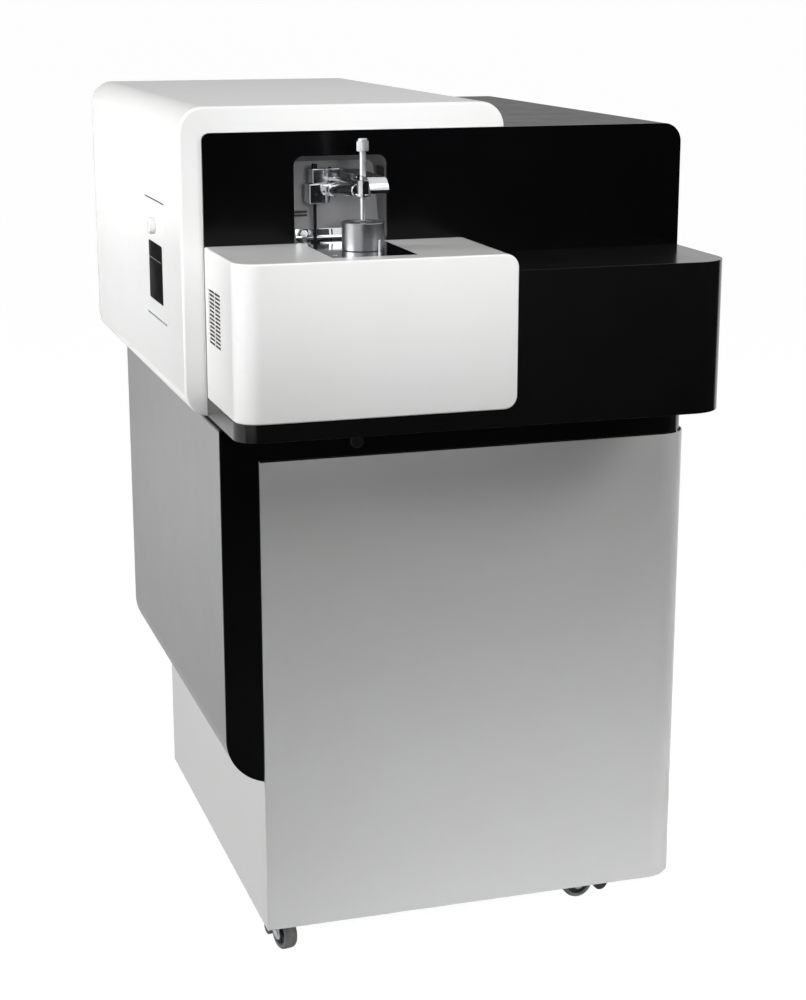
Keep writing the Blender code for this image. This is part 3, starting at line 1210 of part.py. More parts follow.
# Power inlet, switch and gas fitting
def build_power_inlet():
    half_w, half_h = INLET_W / 2, INLET_H / 2
    face = PANEL_OUT_Y + FIT + INLET_LIP_T
    body = add("power_inlet",
               box((INLET_X - half_w, INLET_X + half_w), (face - INLET_D, face),
                   (INLET_Z - half_h, INLET_Z + half_h)), plastic)
    lip = rounded(INLET_X - half_w - INLET_LIP, INLET_X + half_w + INLET_LIP,
                  INLET_Z - half_h - INLET_LIP, INLET_Z + half_h + INLET_LIP, INLET_LIP_R, 2)
    join(body, prism(lip, "y", face - INLET_LIP_T, face))
    socket_x = INLET_X - half_w / 2
    rocker_x = INLET_X + half_w / 2
    cut(body,
        box((socket_x - SOCKET_W / 2, socket_x + SOCKET_W / 2), (face - SOCKET_D, face + PAST),
            (INLET_Z - SOCKET_H / 2, INLET_Z + SOCKET_H / 2)),
        box((rocker_x - ROCKER_W / 2 - RUN, rocker_x + ROCKER_W / 2 + RUN), (face - ROCKER_IN, face + PAST),
            (INLET_Z - ROCKER_H / 2 - RUN, INLET_Z + ROCKER_H / 2 + RUN)))
    pin_y = face - ROCKER_D / 2
    reach = ROCKER_W / 2 + 2 * RUN
    join(body, rod(ROCKER_PIN_R, (rocker_x - reach, pin_y, INLET_Z), (rocker_x + reach, pin_y, INLET_Z), 12))

    out = ROCKER_PROUD
    top = ROCKER_H / 2
    heel = face - ROCKER_D + ROCKER_HEEL
    side = [(heel, INLET_Z - top), (face + out, INLET_Z - top), (face, INLET_Z),
            (face + out, INLET_Z + top), (heel, INLET_Z + top), (face - ROCKER_D, INLET_Z)]
    add("rocker_switch",
        prism(side, "x", rocker_x - ROCKER_W / 2, rocker_x + ROCKER_W / 2,
              [circle(pin_y, INLET_Z, ROCKER_PIN_R + FIT, 12)]),
        plastic, (rocker_x, pin_y, INLET_Z))


def build_argon_inlet():
    back = PANEL_OUT_Y + FIT
    profile = [(0, PANEL_LOW_Y - GAS_IN), (GAS_R, PANEL_LOW_Y - GAS_IN), (GAS_R, back), (GAS_NUT_R, back),
               (GAS_NUT_R, back + GAS_OUT / 3), (GAS_R, back + GAS_OUT / 3), (GAS_R, back + GAS_OUT),
               (0, back + GAS_OUT)]
    add("argon_inlet", turned(profile, (GAS_X, 0, GAS_Z), "y", 16), plated)


build_base_shell()
build_service_door()
build_hinge_rod()
build_front_frame()
build_door_lock()
build_side_cover()
build_rear_panel_lower()
build_cabinet_top()
for caster_name, caster in CASTERS.items():
    build_caster(caster_name, *caster)
build_box("spark_source", SOURCE_X, SOURCE_Y, (CASE_LOW, CASE_LOW + SOURCE_H), BOX_T, plated)
build_box("power_supply", SUPPLY_X, SUPPLY_Y, (CASE_LOW, CASE_LOW + SUPPLY_H), BOX_T, plated)
build_manifold()
build_plinth()
build_hood_shell()
build_right_cover()
build_rear_panel_upper()
build_fascia()
build_console_body()
build_stand_cover()
build_recess_liner()
build_stand_table()
build_spark_chamber()
build_light_tube()
build_test_sample()
build_clamp()
build_filter_hatch()
build_filter_pocket()
build_optics()
build_fan()
build_power_inlet()
build_argon_inlet()
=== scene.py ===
# Looks of a floor-standing alloy analyzer: finer shapes, finishes, light and camera round the CAD frame.
import bpy
import bmesh
import json
from math import acos, atan, cos, degrees, pi, radians, sin, sqrt
from mathutils import Matrix, Vector

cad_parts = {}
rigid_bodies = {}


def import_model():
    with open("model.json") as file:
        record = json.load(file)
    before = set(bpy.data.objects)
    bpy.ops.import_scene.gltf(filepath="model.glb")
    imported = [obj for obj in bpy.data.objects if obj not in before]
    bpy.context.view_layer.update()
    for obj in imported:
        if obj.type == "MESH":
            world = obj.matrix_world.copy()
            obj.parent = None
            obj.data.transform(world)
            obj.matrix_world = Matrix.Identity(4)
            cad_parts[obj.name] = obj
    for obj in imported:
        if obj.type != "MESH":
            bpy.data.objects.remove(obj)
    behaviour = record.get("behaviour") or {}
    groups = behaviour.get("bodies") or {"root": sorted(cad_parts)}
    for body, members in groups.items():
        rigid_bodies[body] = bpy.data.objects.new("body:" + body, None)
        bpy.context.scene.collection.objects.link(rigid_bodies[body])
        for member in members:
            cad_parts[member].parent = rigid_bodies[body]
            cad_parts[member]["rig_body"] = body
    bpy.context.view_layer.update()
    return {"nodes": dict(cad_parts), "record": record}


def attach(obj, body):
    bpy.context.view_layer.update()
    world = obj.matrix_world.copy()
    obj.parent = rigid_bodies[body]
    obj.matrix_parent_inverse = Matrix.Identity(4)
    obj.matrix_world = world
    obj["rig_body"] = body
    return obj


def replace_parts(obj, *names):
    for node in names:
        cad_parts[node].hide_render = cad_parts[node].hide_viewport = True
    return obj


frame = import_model()
nodes = frame["nodes"]
slotOf = {part["node"]: part["material_slot"] for part in frame["record"]["subparts"]}
# sizes below are in millimetres from the cabinet's lower left front corner
mm = 0.001
datum = Vector((-0.2705, -0.26875, 0.0))
# air between neighbours, and how far a cutter reaches past a face
air = 0.3
past = 10
print("frame loaded:", len(nodes), "nodes")


# Colour and nodes
def hexToLinear(hexColour):
    parts = [int(hexColour[i:i + 2], 16) / 255 for i in (1, 3, 5)]
    return tuple(c / 12.92 if c < 0.04045 else ((c + 0.055) / 1.055) ** 2.4 for c in parts) + (1.0,)


def addNode(tree, kind, inputs=None, **settings):
    node = tree.nodes.new("ShaderNode" + kind)
    for key, value in settings.items():
        setattr(node, key, value)
    for key, value in (inputs or {}).items():
        if isinstance(value, bpy.types.NodeSocket):
            tree.links.new(value, node.inputs[key])
        else:
            node.inputs[key].default_value = value
    return node


def maths(tree, operation, first, second):
    return addNode(tree, "Math", {0: first, 1: second}, operation=operation).outputs[0]


def noise(tree, point, size, detail=3.0, rough=0.55, stretch=None):
    if stretch:
        point = addNode(tree, "Mapping", {"Vector": point, "Scale": stretch}).outputs[0]
    settings = {"Vector": point, "Scale": 1 / (size * mm), "Detail": detail, "Roughness": rough}
    return addNode(tree, "TexNoise", settings).outputs["Fac"]


def remap(tree, value, low, high):
    # the middle of the noise, where nearly all of its values lie, fills the whole span
    span = {"Value": value, "From Min": 0.3, "From Max": 0.7, "To Min": low, "To Max": high}
    return addNode(tree, "MapRange", span).outputs[0]


# One finish: colour with a second tone in patches, roughness with a spread in smudges,
# and relief in layers of (size, depth)
def makeFinish(name, look):
    mat = bpy.data.materials.new(name)
    mat.use_nodes = True
    tree = mat.node_tree
    shader = tree.nodes["Principled BSDF"]
    shader.inputs["Metallic"].default_value = look.get("metallic", 0.0)
    for key, value in look.get("sockets", {}).items():
        shader.inputs[key].default_value = value
    point = addNode(tree, "TexCoord").outputs["Object"]
    grain = look.get("grain")
    patch = remap(tree, noise(tree, point, look["patch"], stretch=grain), 0.0, 1.0)
    tones = {0: patch, 6: hexToLinear(look["colour"]), 7: hexToLinear(look["tone"])}
    tree.links.new(addNode(tree, "Mix", tones, data_type="RGBA").outputs[2], shader.inputs["Base Color"])
    smudge = noise(tree, point, look.get("smudge", 60), detail=5.0, rough=0.65, stretch=grain)
    tree.links.new(remap(tree, smudge, *look["roughness"]), shader.inputs["Roughness"])
    normal = shader.inputs["Normal"]
    for size, depth in reversed(look["relief"]):
        height = noise(tree, point, size, detail=2.0, stretch=grain)
        bump = addNode(tree, "Bump", {"Height": height, "Distance": depth * mm, "Strength": 1.0})
        tree.links.new(bump.outputs[0], normal)
        normal = bump.inputs["Normal"]
    return mat


finishes = {
    # smooth stoved coat: even tone, soft reflections that sharpen at a glancing view
    "whitePowderCoat": dict(colour="#f1f1f1", tone="#efefee", patch=120, roughness=(0.23, 0.25),
                            relief=[(2.2, 0.004)]),
    # same coat in grey, with a little more texture
    "greyPowderCoat": dict(colour="#929292", tone="#8f8f90", patch=120, roughness=(0.39, 0.42),
                           relief=[(1.4, 0.015)]),
    # darker grey lining of the recess, satin
    "linerPowderCoat": dict(colour="#6d6d6e", tone="#686869", patch=50, roughness=(0.34, 0.42),
                            relief=[(1.4, 0.01)]),
    # back-painted acrylic sheet with a silk face: the deepest black here, soft reflections
    "blackAcrylicSheet": dict(colour="#040405", tone="#060607", patch=150, roughness=(0.17, 0.21),
                              sockets={"Specular IOR Level": 0.25}, smudge=50, relief=[(4.0, 0.003)]),
    # black gloss on sheet metal: clear reflections, broken only by wiping marks
    "blackGlossLacquer": dict(colour="#0e0e0f", tone="#111112", patch=120, roughness=(0.14, 0.21), smudge=40,
                              relief=[(3.0, 0.004)]),
    # dark satin coat with a fine texture that kills hard reflections
    "darkTexturedCoat": dict(colour="#2b2b2d", tone="#262628", patch=60, roughness=(0.42, 0.52),
                             relief=[(0.9, 0.03)]),
    # mirror sheet: nearly perfect, with faint wiping marks
    "mirrorStainless": dict(colour="#d6d8d9", tone="#cbcdcf", patch=30, metallic=1.0, roughness=(0.05, 0.10),
                            smudge=15, relief=[(4.0, 0.003)]),
    # polished clamp steel
    "polishedSteel": dict(colour="#dadbdd", tone="#c8cacc", patch=12, metallic=1.0, roughness=(0.07, 0.15),
                          smudge=8, relief=[(1.2, 0.004)]),
    # satin clamp parts: machined, soft reflections
    "satinSteel": dict(colour="#dadbdd", tone="#cfd1d3", patch=10, metallic=1.0, roughness=(0.36, 0.46),
                       smudge=8, relief=[(1.0, 0.006)]),
    # ground sample: lines round the axis would be under a pixel, so the grain is drawn coarser
    "groundSteel": dict(colour="#9fa0a2", tone="#9a9b9d", patch=10, metallic=1.0, roughness=(0.29, 0.33),
                        smudge=6, grain=(1.0, 1.0, 6.0), relief=[(1.4, 0.001)]),
    # bright zinc plating: slightly uneven, cloudy
    "zincPlate": dict(colour="#b9bcc0", tone="#a2a5a8", patch=12, metallic=1.0, roughness=(0.30, 0.42),
                      smudge=10, relief=[(1.1, 0.01)]),
    # black oxide on screws and the clamp's post
    "blackOxide": dict(colour="#2b2b2d", tone="#222224", patch=10, metallic=1.0, roughness=(0.34, 0.46),
                       smudge=10, relief=[(1.0, 0.01)]),
    # galvanised inner sheet with large spangles
    "galvanisedSheet": dict(colour="#b2b5b8", tone="#9c9fa3", patch=14, metallic=1.0, roughness=(0.36, 0.50),
                            smudge=20, relief=[(2.0, 0.01)]),
    # sand casting: grainy and dull
    "castAluminium": dict(colour="#a8aaad", tone="#94969a", patch=20, metallic=1.0, roughness=(0.42, 0.56),
                          relief=[(1.2, 0.08), (6.0, 0.08)]),
    # brass fittings, dulled by handling
    "dullBrass": dict(colour="#b9995a", tone="#9d7f45", patch=8, metallic=1.0, roughness=(0.26, 0.40),
                      smudge=8, relief=[(1.0, 0.01)]),
    # grey tread compound: matt, with rolled-on dust
    "treadRubber": dict(colour="#8c8c8b", tone="#797978", patch=8, roughness=(0.62, 0.80),
                        relief=[(0.9, 0.06)]),
    # moulded black with a fine eroded texture
    "blackAbs": dict(colour="#151516", tone="#1c1c1d", patch=20, roughness=(0.45, 0.58),
                     relief=[(0.7, 0.04)]),
    # fired alumina, a little warm
    "aluminaCeramic": dict(colour="#e8e4da", tone="#ded9cd", patch=10, roughness=(0.32, 0.42),
                           relief=[(0.8, 0.01)]),
    # smoked sheet: what stands behind shows dimly
    "smokedAcrylic": dict(colour="#0c0c0d", tone="#09090a", patch=40, roughness=(0.04, 0.07),
                          sockets={"Transmission Weight": 0.85, "IOR": 1.49, "Specular IOR Level": 0.08},
                          relief=[(20, 0.002)]),
    # matt black foam behind the vents, as painted shade: it swallows what light gets through the slots
    "ventShadeFoam": dict(colour="#141415", tone="#0f0f10", patch=4, roughness=(0.85, 0.95),
                           relief=[(1.5, 0.2)]),
}
mats = {name: makeFinish(name, look) for name, look in finishes.items()}
slotFinish = {
    "white_enamel": "whitePowderCoat", "grey_enamel": "greyPowderCoat", "gloss_black": "blackGlossLacquer",
    "dark_grey": "darkTexturedCoat", "polished_steel": "polishedSteel", "plated_steel": "zincPlate",
    "cast_alloy": "castAluminium", "grey_rubber": "treadRubber", "black_plastic": "blackAbs",
    "white_ceramic": "aluminaCeramic", "smoked_acrylic": "smokedAcrylic",
}
nodeFinish = {
    "fascia": "blackAcrylicSheet", "stand_table": "mirrorStainless", "arm_cover": "mirrorStainless",
    "test_sample": "groundSteel", "spark_source": "galvanisedSheet", "power_supply": "galvanisedSheet",
    "argon_inlet": "dullBrass", "recess_liner": "linerPowderCoat", "clamp_column": "blackOxide",
    "clamp_arm": "polishedSteel", "clamp_rod": "satinSteel", "rod_knob": "satinSteel",
    "rod_tip": "satinSteel",
}


def finishFor(node):
    return mats[nodeFinish.get(node, slotFinish[slotOf[node]])]


print("finishes made:", len(mats))


# Outlines in a plane
def arc(x, y, radius, start, end, steps):
    turns = [radians(start + (end - start) * i / steps) for i in range(steps + 1)]
    return [(x + radius * cos(t), y + radius * sin(t)) for t in turns]


def circle(x, y, radius, steps=32):
    return arc(x, y, radius, 0, 360, steps)[:-1]


def roundRect(x, y, radii, steps=12, grow=0.0):
    # x and y are spans, grown all round; radii run lower left, lower right, upper right, upper left
    if not isinstance(radii, tuple):
        radii = (radii,) * 4
    x0, x1, y0, y1 = x[0] - grow, x[1] + grow, y[0] - grow, y[1] + grow
    corners = ((x0, y0, 1, 1, 180), (x1, y0, -1, 1, 270), (x1, y1, -1, -1, 0), (x0, y1, 1, -1, 90))
    outline = []
    for (u, v, right, up, start), radius in zip(corners, radii):
        if radius > 0:
            outline += arc(u + right * radius, v + up * radius, radius, start, start + 90, steps)
        else:
            outline.append((u, v))
    return outline


def slot(left, low, length, height, steps=4):
    return roundRect((left, left + length), (low, low + height), height * 0.49, steps)


def hexagon(across):
    radius = across / 2 / cos(pi / 6)
    return [(radius * cos(pi * i / 3), radius * sin(pi * i / 3)) for i in range(6)]


def bentSheet(path, thickness):
    # outline of a sheet that lies on the left of a path
    other = []
    for i, (x, y) in enumerate(path):
        before = Vector(path[i]) - Vector(path[max(i - 1, 0)])
        after = Vector(path[min(i + 1, len(path) - 1)]) - Vector(path[i])
        heading = (before.normalized() + after.normalized()).normalized()
        along = (after if before.length == 0 else before).normalized()
        share = thickness / max(heading.dot(along), 0.3)
        other.append((x - heading.y * share, y + heading.x * share))
    return list(path) + other[::-1]


# Solids as bmesh: millimetres go in, the mesh is in metres
def metres(*point):
    return tuple(c * mm for c in point)


def onAxis(axis, u, v, w):
    return metres(*{"x": (w, u, v), "y": (u, w, v), "z": (u, v, w)}[axis])


def shiftTo(point):
    return Matrix.Translation(metres(*point))


def spin(angle, axis):
    return Matrix.Rotation(angle, 4, axis)


def extrude(outline, axis, low, high, holes=()):
    bm = bmesh.new()
    edges = []
    for loop in (outline, *holes):
        verts = [bm.verts.new(onAxis(axis, u, v, low)) for u, v in loop]
        edges += [bm.edges.new(pair) for pair in zip(verts, verts[1:] + verts[:1])]
    if holes:
        bmesh.ops.triangle_fill(bm, use_beauty=True, use_dissolve=False, edges=edges)
    else:
        bm.faces.new(bm.verts[:])
    sides = bmesh.ops.extrude_face_region(bm, geom=bm.faces[:])
    far = [item for item in sides["geom"] if isinstance(item, bmesh.types.BMVert)]
    bmesh.ops.translate(bm, vec=Vector(onAxis(axis, 0, 0, high - low)), verts=far)
    bmesh.ops.recalc_face_normals(bm, faces=bm.faces[:])
    return bm


def box(x, y, z, grow=0.0):
    return extrude(roundRect(x, y, 0, grow=grow), "z", z[0] - grow, z[1] + grow)


def loft(loops, closed=False):
    bm = bmesh.new()
    rings = [[bm.verts.new(metres(*point)) for point in loop] for loop in loops]
    for near, far in list(zip(rings, rings[1:])) + ([(rings[-1], rings[0])] if closed else []):
        for i in range(len(near)):
            j = (i + 1) % len(near)
            bm.faces.new((near[i], near[j], far[j], far[i]))
    if not closed:
        bm.faces.new(rings[0][::-1])
        bm.faces.new(rings[-1])
    bmesh.ops.recalc_face_normals(bm, faces=bm.faces[:])
    return bm


def turn(profile, place=(0, 0, 0), axis="z", steps=48, closed=False):
    # profile: (radius, height) pairs along the axis
    bm = bmesh.new()
    rings = []
    for radius, height in profile:
        outline = circle(0, 0, radius, steps) if radius > 0 else [(0, 0)]
        rings.append([bm.verts.new(onAxis(axis, u, v, height)) for u, v in outline])
    for near, far in list(zip(rings, rings[1:])) + ([(rings[-1], rings[0])] if closed else []):
        if len(near) == len(far) == 1:
            continue
        for i in range(steps):
            j = (i + 1) % steps
            corners = [near[i % len(near)], near[j % len(near)], far[j % len(far)], far[i % len(far)]]
            bm.faces.new(list(dict.fromkeys(corners)))
    bmesh.ops.recalc_face_normals(bm, faces=bm.faces[:])
    return moved(bm, shiftTo(place))


def drum(radius, low, high, edge):
    # profile of a turned piece with the same broken edge at both ends
    inner = radius - edge
    return [(0, low), (inner, low), (radius, low + edge), (radius, high - edge), (inner, high), (0, high)]


def moved(bm, matrix):
    bmesh.ops.transform(bm, matrix=matrix, verts=bm.verts[:])
    return bm


def aimAlong(heading):
    return Vector(heading).to_track_quat("Z", "Y").to_matrix().to_4x4()


def rod(radius, start, end, steps=24, edge=0.0):
    run = Vector(metres(*end)) - Vector(metres(*start))
    length = run.length / mm
    profile = drum(radius, 0, length, edge) if edge else [(0, 0), (radius, 0), (radius, length), (0, length)]
    return moved(turn(profile, steps=steps), shiftTo(start) @ aimAlong(run))


def merged(*solids):
    whole = bmesh.new()
    for solid in solids:
        mesh = bpy.data.meshes.new("part")
        solid.to_mesh(mesh)
        solid.free()
        whole.from_mesh(mesh)
        bpy.data.meshes.remove(mesh)
    return whole


def boolean(operation, solids):
    temporary = []
    for solid in solids:
        mesh = bpy.data.meshes.new("temporary")
        solid.to_mesh(mesh)
        solid.free()
        temporary.append(bpy.data.objects.new("temporary", mesh))
        bpy.context.scene.collection.objects.link(temporary[-1])
    for cutter in temporary[1:]:
        modifier = temporary[0].modifiers.new("cut", "BOOLEAN")
        modifier.solver = "EXACT"
        modifier.operation = operation
        modifier.object = cutter
    bpy.context.view_layer.update()
    done = temporary[0].evaluated_get(bpy.context.evaluated_depsgraph_get())
    result = bmesh.new()
    result.from_mesh(done.to_mesh())
    done.to_mesh_clear()
    for item in temporary:
        mesh = item.data
        bpy.data.objects.remove(item)
        bpy.data.meshes.remove(mesh)
    return cleaned(result, 0.3)


def cleaned(bm, flatAngle):
    # doubles fall together and faces in one plane are joined
    bmesh.ops.remove_doubles(bm, verts=bm.verts[:], dist=0.002 * mm)
    bmesh.ops.dissolve_limit(bm, angle_limit=radians(flatAngle), verts=bm.verts[:], edges=bm.edges[:])
    return bm


def carved(*solids):
    return boolean("DIFFERENCE", solids)


def fused(*solids):
    return boolean("UNION", solids)


def eased(bm, width, segments=2, angle=50, choose=None):
    # rounds every edge sharper than the angle whose middle, in millimetres, the test lets through
    sharp = [e for e in bm.edges if len(e.link_faces) == 2 and e.calc_face_angle() > radians(angle)]
    if choose:
        sharp = [e for e in sharp if choose((e.verts[0].co + e.verts[1].co) / 2 / mm)]
    bmesh.ops.bevel(bm, geom=sharp, offset=width * mm, offset_type="OFFSET", segments=segments, profile=0.5,
                    affect="EDGES", clamp_overlap=True)
    return bm


# Piece in the scene, riding its node's body; the skin stands for the node itself
def place(bm, node, part, finish=None, smoothAngle=30):
    mesh = bpy.data.meshes.new(node + "." + part)
    bmesh.ops.recalc_face_normals(bm, faces=bm.faces[:])
    bm.to_mesh(mesh)
    bm.free()
    mesh.shade_smooth()
    mesh.set_sharp_from_angle(angle=radians(smoothAngle))
    mesh.materials.append(mats[finish] if finish else finishFor(node))
    piece = bpy.data.objects.new(mesh.name, mesh)
    bpy.context.scene.collection.objects.link(piece)
    piece.modifiers.new("faceNormals", "WEIGHTED_NORMAL").keep_sharp = True
    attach(piece, nodes[node]["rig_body"])
    return piece


def addPiece(bm, node, part, finish=None):
    place(moved(bm, Matrix.Translation(datum)), node, part, finish)


def standFor(bm, node, finish=None, smoothAngle=30):
    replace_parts(place(moved(bm, Matrix.Translation(datum)), node, "skin", finish, smoothAngle), node)


def soften(node, width):
    bm = bmesh.new()
    bm.from_mesh(nodes[node].data)
    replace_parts(place(eased(cleaned(bm, 0.4), width, angle=28), node, "skin"), node)


# White hood: wide corner radii, a small radius at its front edge, the hatch mouth in its left wall
hood = dict(x=(-99, 352), y=(4.3, 720), z=(819, 1230), corner=34, nose=4, skin=2, backEdge=0.3,
            mouthX=(-59, 342), mouthZ=(830, 1186), mouthR=4, hatchY=(120, 264.5), hatchZ=(924, 1093),
            hatchR=(0.4, 0.4, 2.2, 2.2), rim=0.4, rimY=(110, 280))


def atDepth(outline, y):
    return [(u, y, v) for u, v in outline]


def makeHood():
    h = hood
    (front, back), skin, nose, left = h["y"], h["skin"], h["nose"], h["x"][0]

    def ring(inset, y):
        return atDepth(roundRect(h["x"], h["z"], h["corner"] - inset, 20, -inset), y)

    edge = h["backEdge"]
    loops = [ring(skin, front + skin), ring(skin, back), ring(edge, back), ring(0, back - edge)]
    for step in range(7):
        angle = radians(90 * step / 6)
        loops.append(ring(nose * (1 - cos(angle)), front + nose - nose * sin(angle)))
    hole = roundRect(h["mouthX"], h["mouthZ"], h["mouthR"], 20)
    bm = loft(loops + [atDepth(hole, front), atDepth(hole, front + skin)], closed=True)
    hatchMouth = roundRect(h["hatchY"], h["hatchZ"], h["hatchR"], 4)
    bm = carved(bm, extrude(hatchMouth, "x", left - past, left + past))
    eased(bm, h["rim"], choose=lambda mid: abs(mid.x - left) < 0.1 and h["rimY"][0] < mid.y < h["rimY"][1])
    standFor(bm, "hood_shell")


# Dark cover behind the fascia's right part
rightCover = dict(x=(352.3, 614), y=(4.3, 720), z=(819, 1196), corners=(2, 2, 27, 2), hollow=(1, 1, 25, 1),
                  sheet=2, edge=0.6)


def makeRightCover():
    c = rightCover
    hollow = roundRect(c["x"], c["z"], c["hollow"], 16, -c["sheet"])
    bm = extrude(roundRect(c["x"], c["z"], c["corners"], 16), "y", *c["y"], [hollow])
    standFor(eased(bm, c["edge"]), "right_cover")


# Black fascia with the window of the recess: polished, so its edge is a clear bright line
fascia = dict(x=(-69, 614), z=(820, 1196), thick=4, corners=(3, 3, 26, 10), windowX=(54, 183),
              windowZ=(1045.7, 1163), windowR=(0.8, 0.8, 13, 13), sight=(124.5, 1026, 10), edge=0.9)


def makeFascia():
    f = fascia
    holes = [roundRect(f["windowX"], f["windowZ"], f["windowR"], 14), circle(*f["sight"])]
    bm = extrude(roundRect(f["x"], f["z"], f["corners"], 16), "y", 0, f["thick"], holes)
    standFor(eased(bm, f["edge"], 3, choose=lambda mid: mid.y < 0.1), "fascia")


# Black console: a body right of the stand block and a lip under it
console = dict(x=(-69, 614), front=-182, z=(820, 1026), bend=50, wall=3, blockRight=305, blockLow=844,
               blockBend=32, blockR=18, edge=0.4)


def makeConsole():
    c = console
    (left, right), (low, top), wall = c["x"], c["z"], c["wall"]

    def plan(inset, start, back):
        front, bend = c["front"] + inset, c["bend"] - inset
        outline = [(start, back)]
        if start < c["blockRight"] - c["blockBend"]:
            r = c["blockBend"] - inset
            outline += arc(start + r, front + r, r, 180, 270, 12)
        else:
            outline.append((start, front))
        return outline + arc(right - inset - bend, front + bend, bend, -90, 0, 18) + [(right - inset, back)]

    beside, lipTop = c["blockRight"] + air, c["blockLow"] - air
    room = roundRect((left - wall, beside), (lipTop, top + wall), (0, c["blockR"] + air, 0, 0), 16)
    body = carved(extrude(plan(0, left, -air), "z", low, top), extrude(room, "y", c["front"] - wall, wall))
    eased(body, c["edge"], choose=lambda mid: mid.y < -0.4)
    body = carved(body, extrude(plan(wall, beside + wall, past), "z", low + wall, top - wall),
                  extrude(plan(wall, left + wall, past), "z", low + wall, lipTop - wall))
    standFor(body, "console_body")


# White stand block with the louvred left wall, which is thin round the slots
block = dict(x=(-69, 305), z=(844, 1048), front=-185.5, back=-0.3, corner=18, bend=32, edge=2.6, wall=2.5,
             notchX=(63.7, 178.3), notchFront=-154.3)
vents = dict(columns=(-54.5, -90), length=33.5, height=3.1, pitch=5.26, rows=14, top=994.9, sheet=0.8,
             roundY=(6, 3), roundZ=(3, 6), shadeFoam=(1, 6), shadeFoamGap=0.5)


def makeStandBlock():
    b, v = block, vents
    left, back, wall = b["x"][0], b["back"], b["wall"]

    def body(inset, behind):
        front, r = b["front"] + inset, b["corner"] - inset
        bm = extrude(roundRect(b["x"], b["z"], (0, r, r, 0), 16, -inset), "y", front, behind)
        return eased(bm, b["bend"] - inset, 16, 60,
                     lambda mid: abs(mid.x - left - inset) < 0.01 and abs(mid.y - front) < 0.01)

    shell = eased(body(0, back), b["edge"], 4, 30, lambda mid: mid.y < back - 0.01)
    top = b["z"][1]
    notch = box(b["notchX"], (b["notchFront"], past), (top - 2 * wall, top + past))
    shell = carved(shell, body(wall, past), notch)
    lows = [v["top"] - row * v["pitch"] - v["height"] / 2 for row in range(v["rows"])]
    slots = [extrude(slot(start, low, v["length"], v["height"]), "x", left - 4, left + 6)
             for start in v["columns"] for low in lows]
    y = (v["columns"][1] - v["roundY"][0], v["columns"][0] + v["length"] + v["roundY"][1])
    z = (v["top"] - v["rows"] * v["pitch"] - v["roundZ"][0], v["top"] + v["roundZ"][1])
    x = left + v["sheet"]
    standFor(carved(shell, box((x, x + wall), y, z), merged(*slots)), "stand_cover")
    # matt black foam close behind the slots keeps them dark: painted shade inside the vents
    gap = v["shadeFoamGap"]
    shadeFoam = box((x + v["shadeFoam"][0], x + v["shadeFoam"][1]), (y[0] + gap, y[1] - gap), (z[0] + gap, z[1] - gap))
    addPiece(eased(shadeFoam, 0.4), "stand_cover", "ventShadeBaffle", "ventShadeFoam")


# Front door: one sheet wrapped round the right corner, with hinge lugs, a catch and two stiffeners inside
door = dict(width=650, z=(51.5, 750), sheet=1.5, bend=50, tail=2, rod=(636, 41), rodHole=4.3,
            lugs=(90, 700), lugThick=3, lugEnd=[(630, 50), (622, 33)], catch=(129, 149), catchDrop=19,
            catchDeep=12, catchUp=3, stiffenerX=(40, 585), stiffeners=(230, 560), stiffenerSheet=1,
            hat=[(1.6, -30), (1.6, -18), (10, -18), (10, 18), (1.6, 18), (1.6, 30)])


def makeDoor():
    d = door
    bend, sheet, top, centre = d["bend"], d["sheet"], d["z"][1], d["width"] - d["bend"]
    path = [(0, 0)] + arc(centre, bend, bend, -90, 0, 24) + [(d["width"], bend + d["tail"])]
    standFor(eased(extrude(bentSheet(path, sheet), "z", *d["z"]), 0.6, 3), "service_door")
    lug = arc(centre, bend, bend - sheet / 2, -62, -6, 10) + d["lugEnd"]
    shelf, half = top - d["catchDrop"], sheet / 2
    catch = [(half, shelf), (d["catchDeep"], shelf), (d["catchDeep"], top - d["catchUp"])]
    hole = circle(*d["rod"], d["rodHole"], 24)
    pieces = [extrude(lug, "z", low, low + d["lugThick"], [hole]) for low in d["lugs"]]
    pieces.append(extrude(bentSheet(catch, sheet), "x", *d["catch"]))
    addPiece(eased(merged(*pieces), 0.3), "service_door", "fittings", "zincPlate")
    hats = []
    for z in d["stiffeners"]:
        path = [(y, z + rise) for y, rise in d["hat"]]
        hats.append(eased(extrude(bentSheet(path, d["stiffenerSheet"]), "x", *d["stiffenerX"]), 0.3))
    addPiece(merged(*hats), "service_door", "stiffeners")


# Side cover and black frame share the round lower corner
corner = dict(out=55, radius=70, low=352, thick=3, depth=723, sheet=1.5)


def cornerArc(offset):
    c = corner
    radius, centre = c["radius"] - offset, c["radius"] - c["out"]
    reach = degrees(acos((centre + air) / radius))
    return arc(centre, c["low"], radius, 180, 180 + reach, 26)


def makeSideCover():
    c = corner
    out, sheet, top = c["out"], c["sheet"], band["z"][1] - air
    inner = cornerArc(sheet)
    hollow = inner + [(past, inner[-1][1]), (past, top - sheet), (sheet - out, top - sheet)]
    bm = extrude(cornerArc(0) + [(-air, top), (-out, top)], "y", c["thick"] + air, c["depth"])
    standFor(carved(eased(bm, 0.6), extrude(hollow, "y", 0, c["depth"] - sheet)), "side_cover")


# Black band over the door and down its left side; behind the gap over the door a seal on an angle, open where
# the lock's cam turns, a bush on the hinge rod and a strip down the right wall; seal and strip are black to
# paint shade into the gaps round the door
band = dict(z=(752, 797), right=645, bend=50, joinX=300, edgeX=-1, lock=(139, 772, 8.3), sealZ=(741.5, 754),
            sealY=13.75, sealSheet=1.5, flangeX=((4, 126), (177, 585)), flangeY=(3.3, 14),
            flangeZ=(752.8, 753.9), bush=(4.3, 6.2), bushLow=729.5, sideX=(639.8, 641),
            sideFlangeX=(640.8, 641.7), sideY=(75, 690), sideLow=744.5)


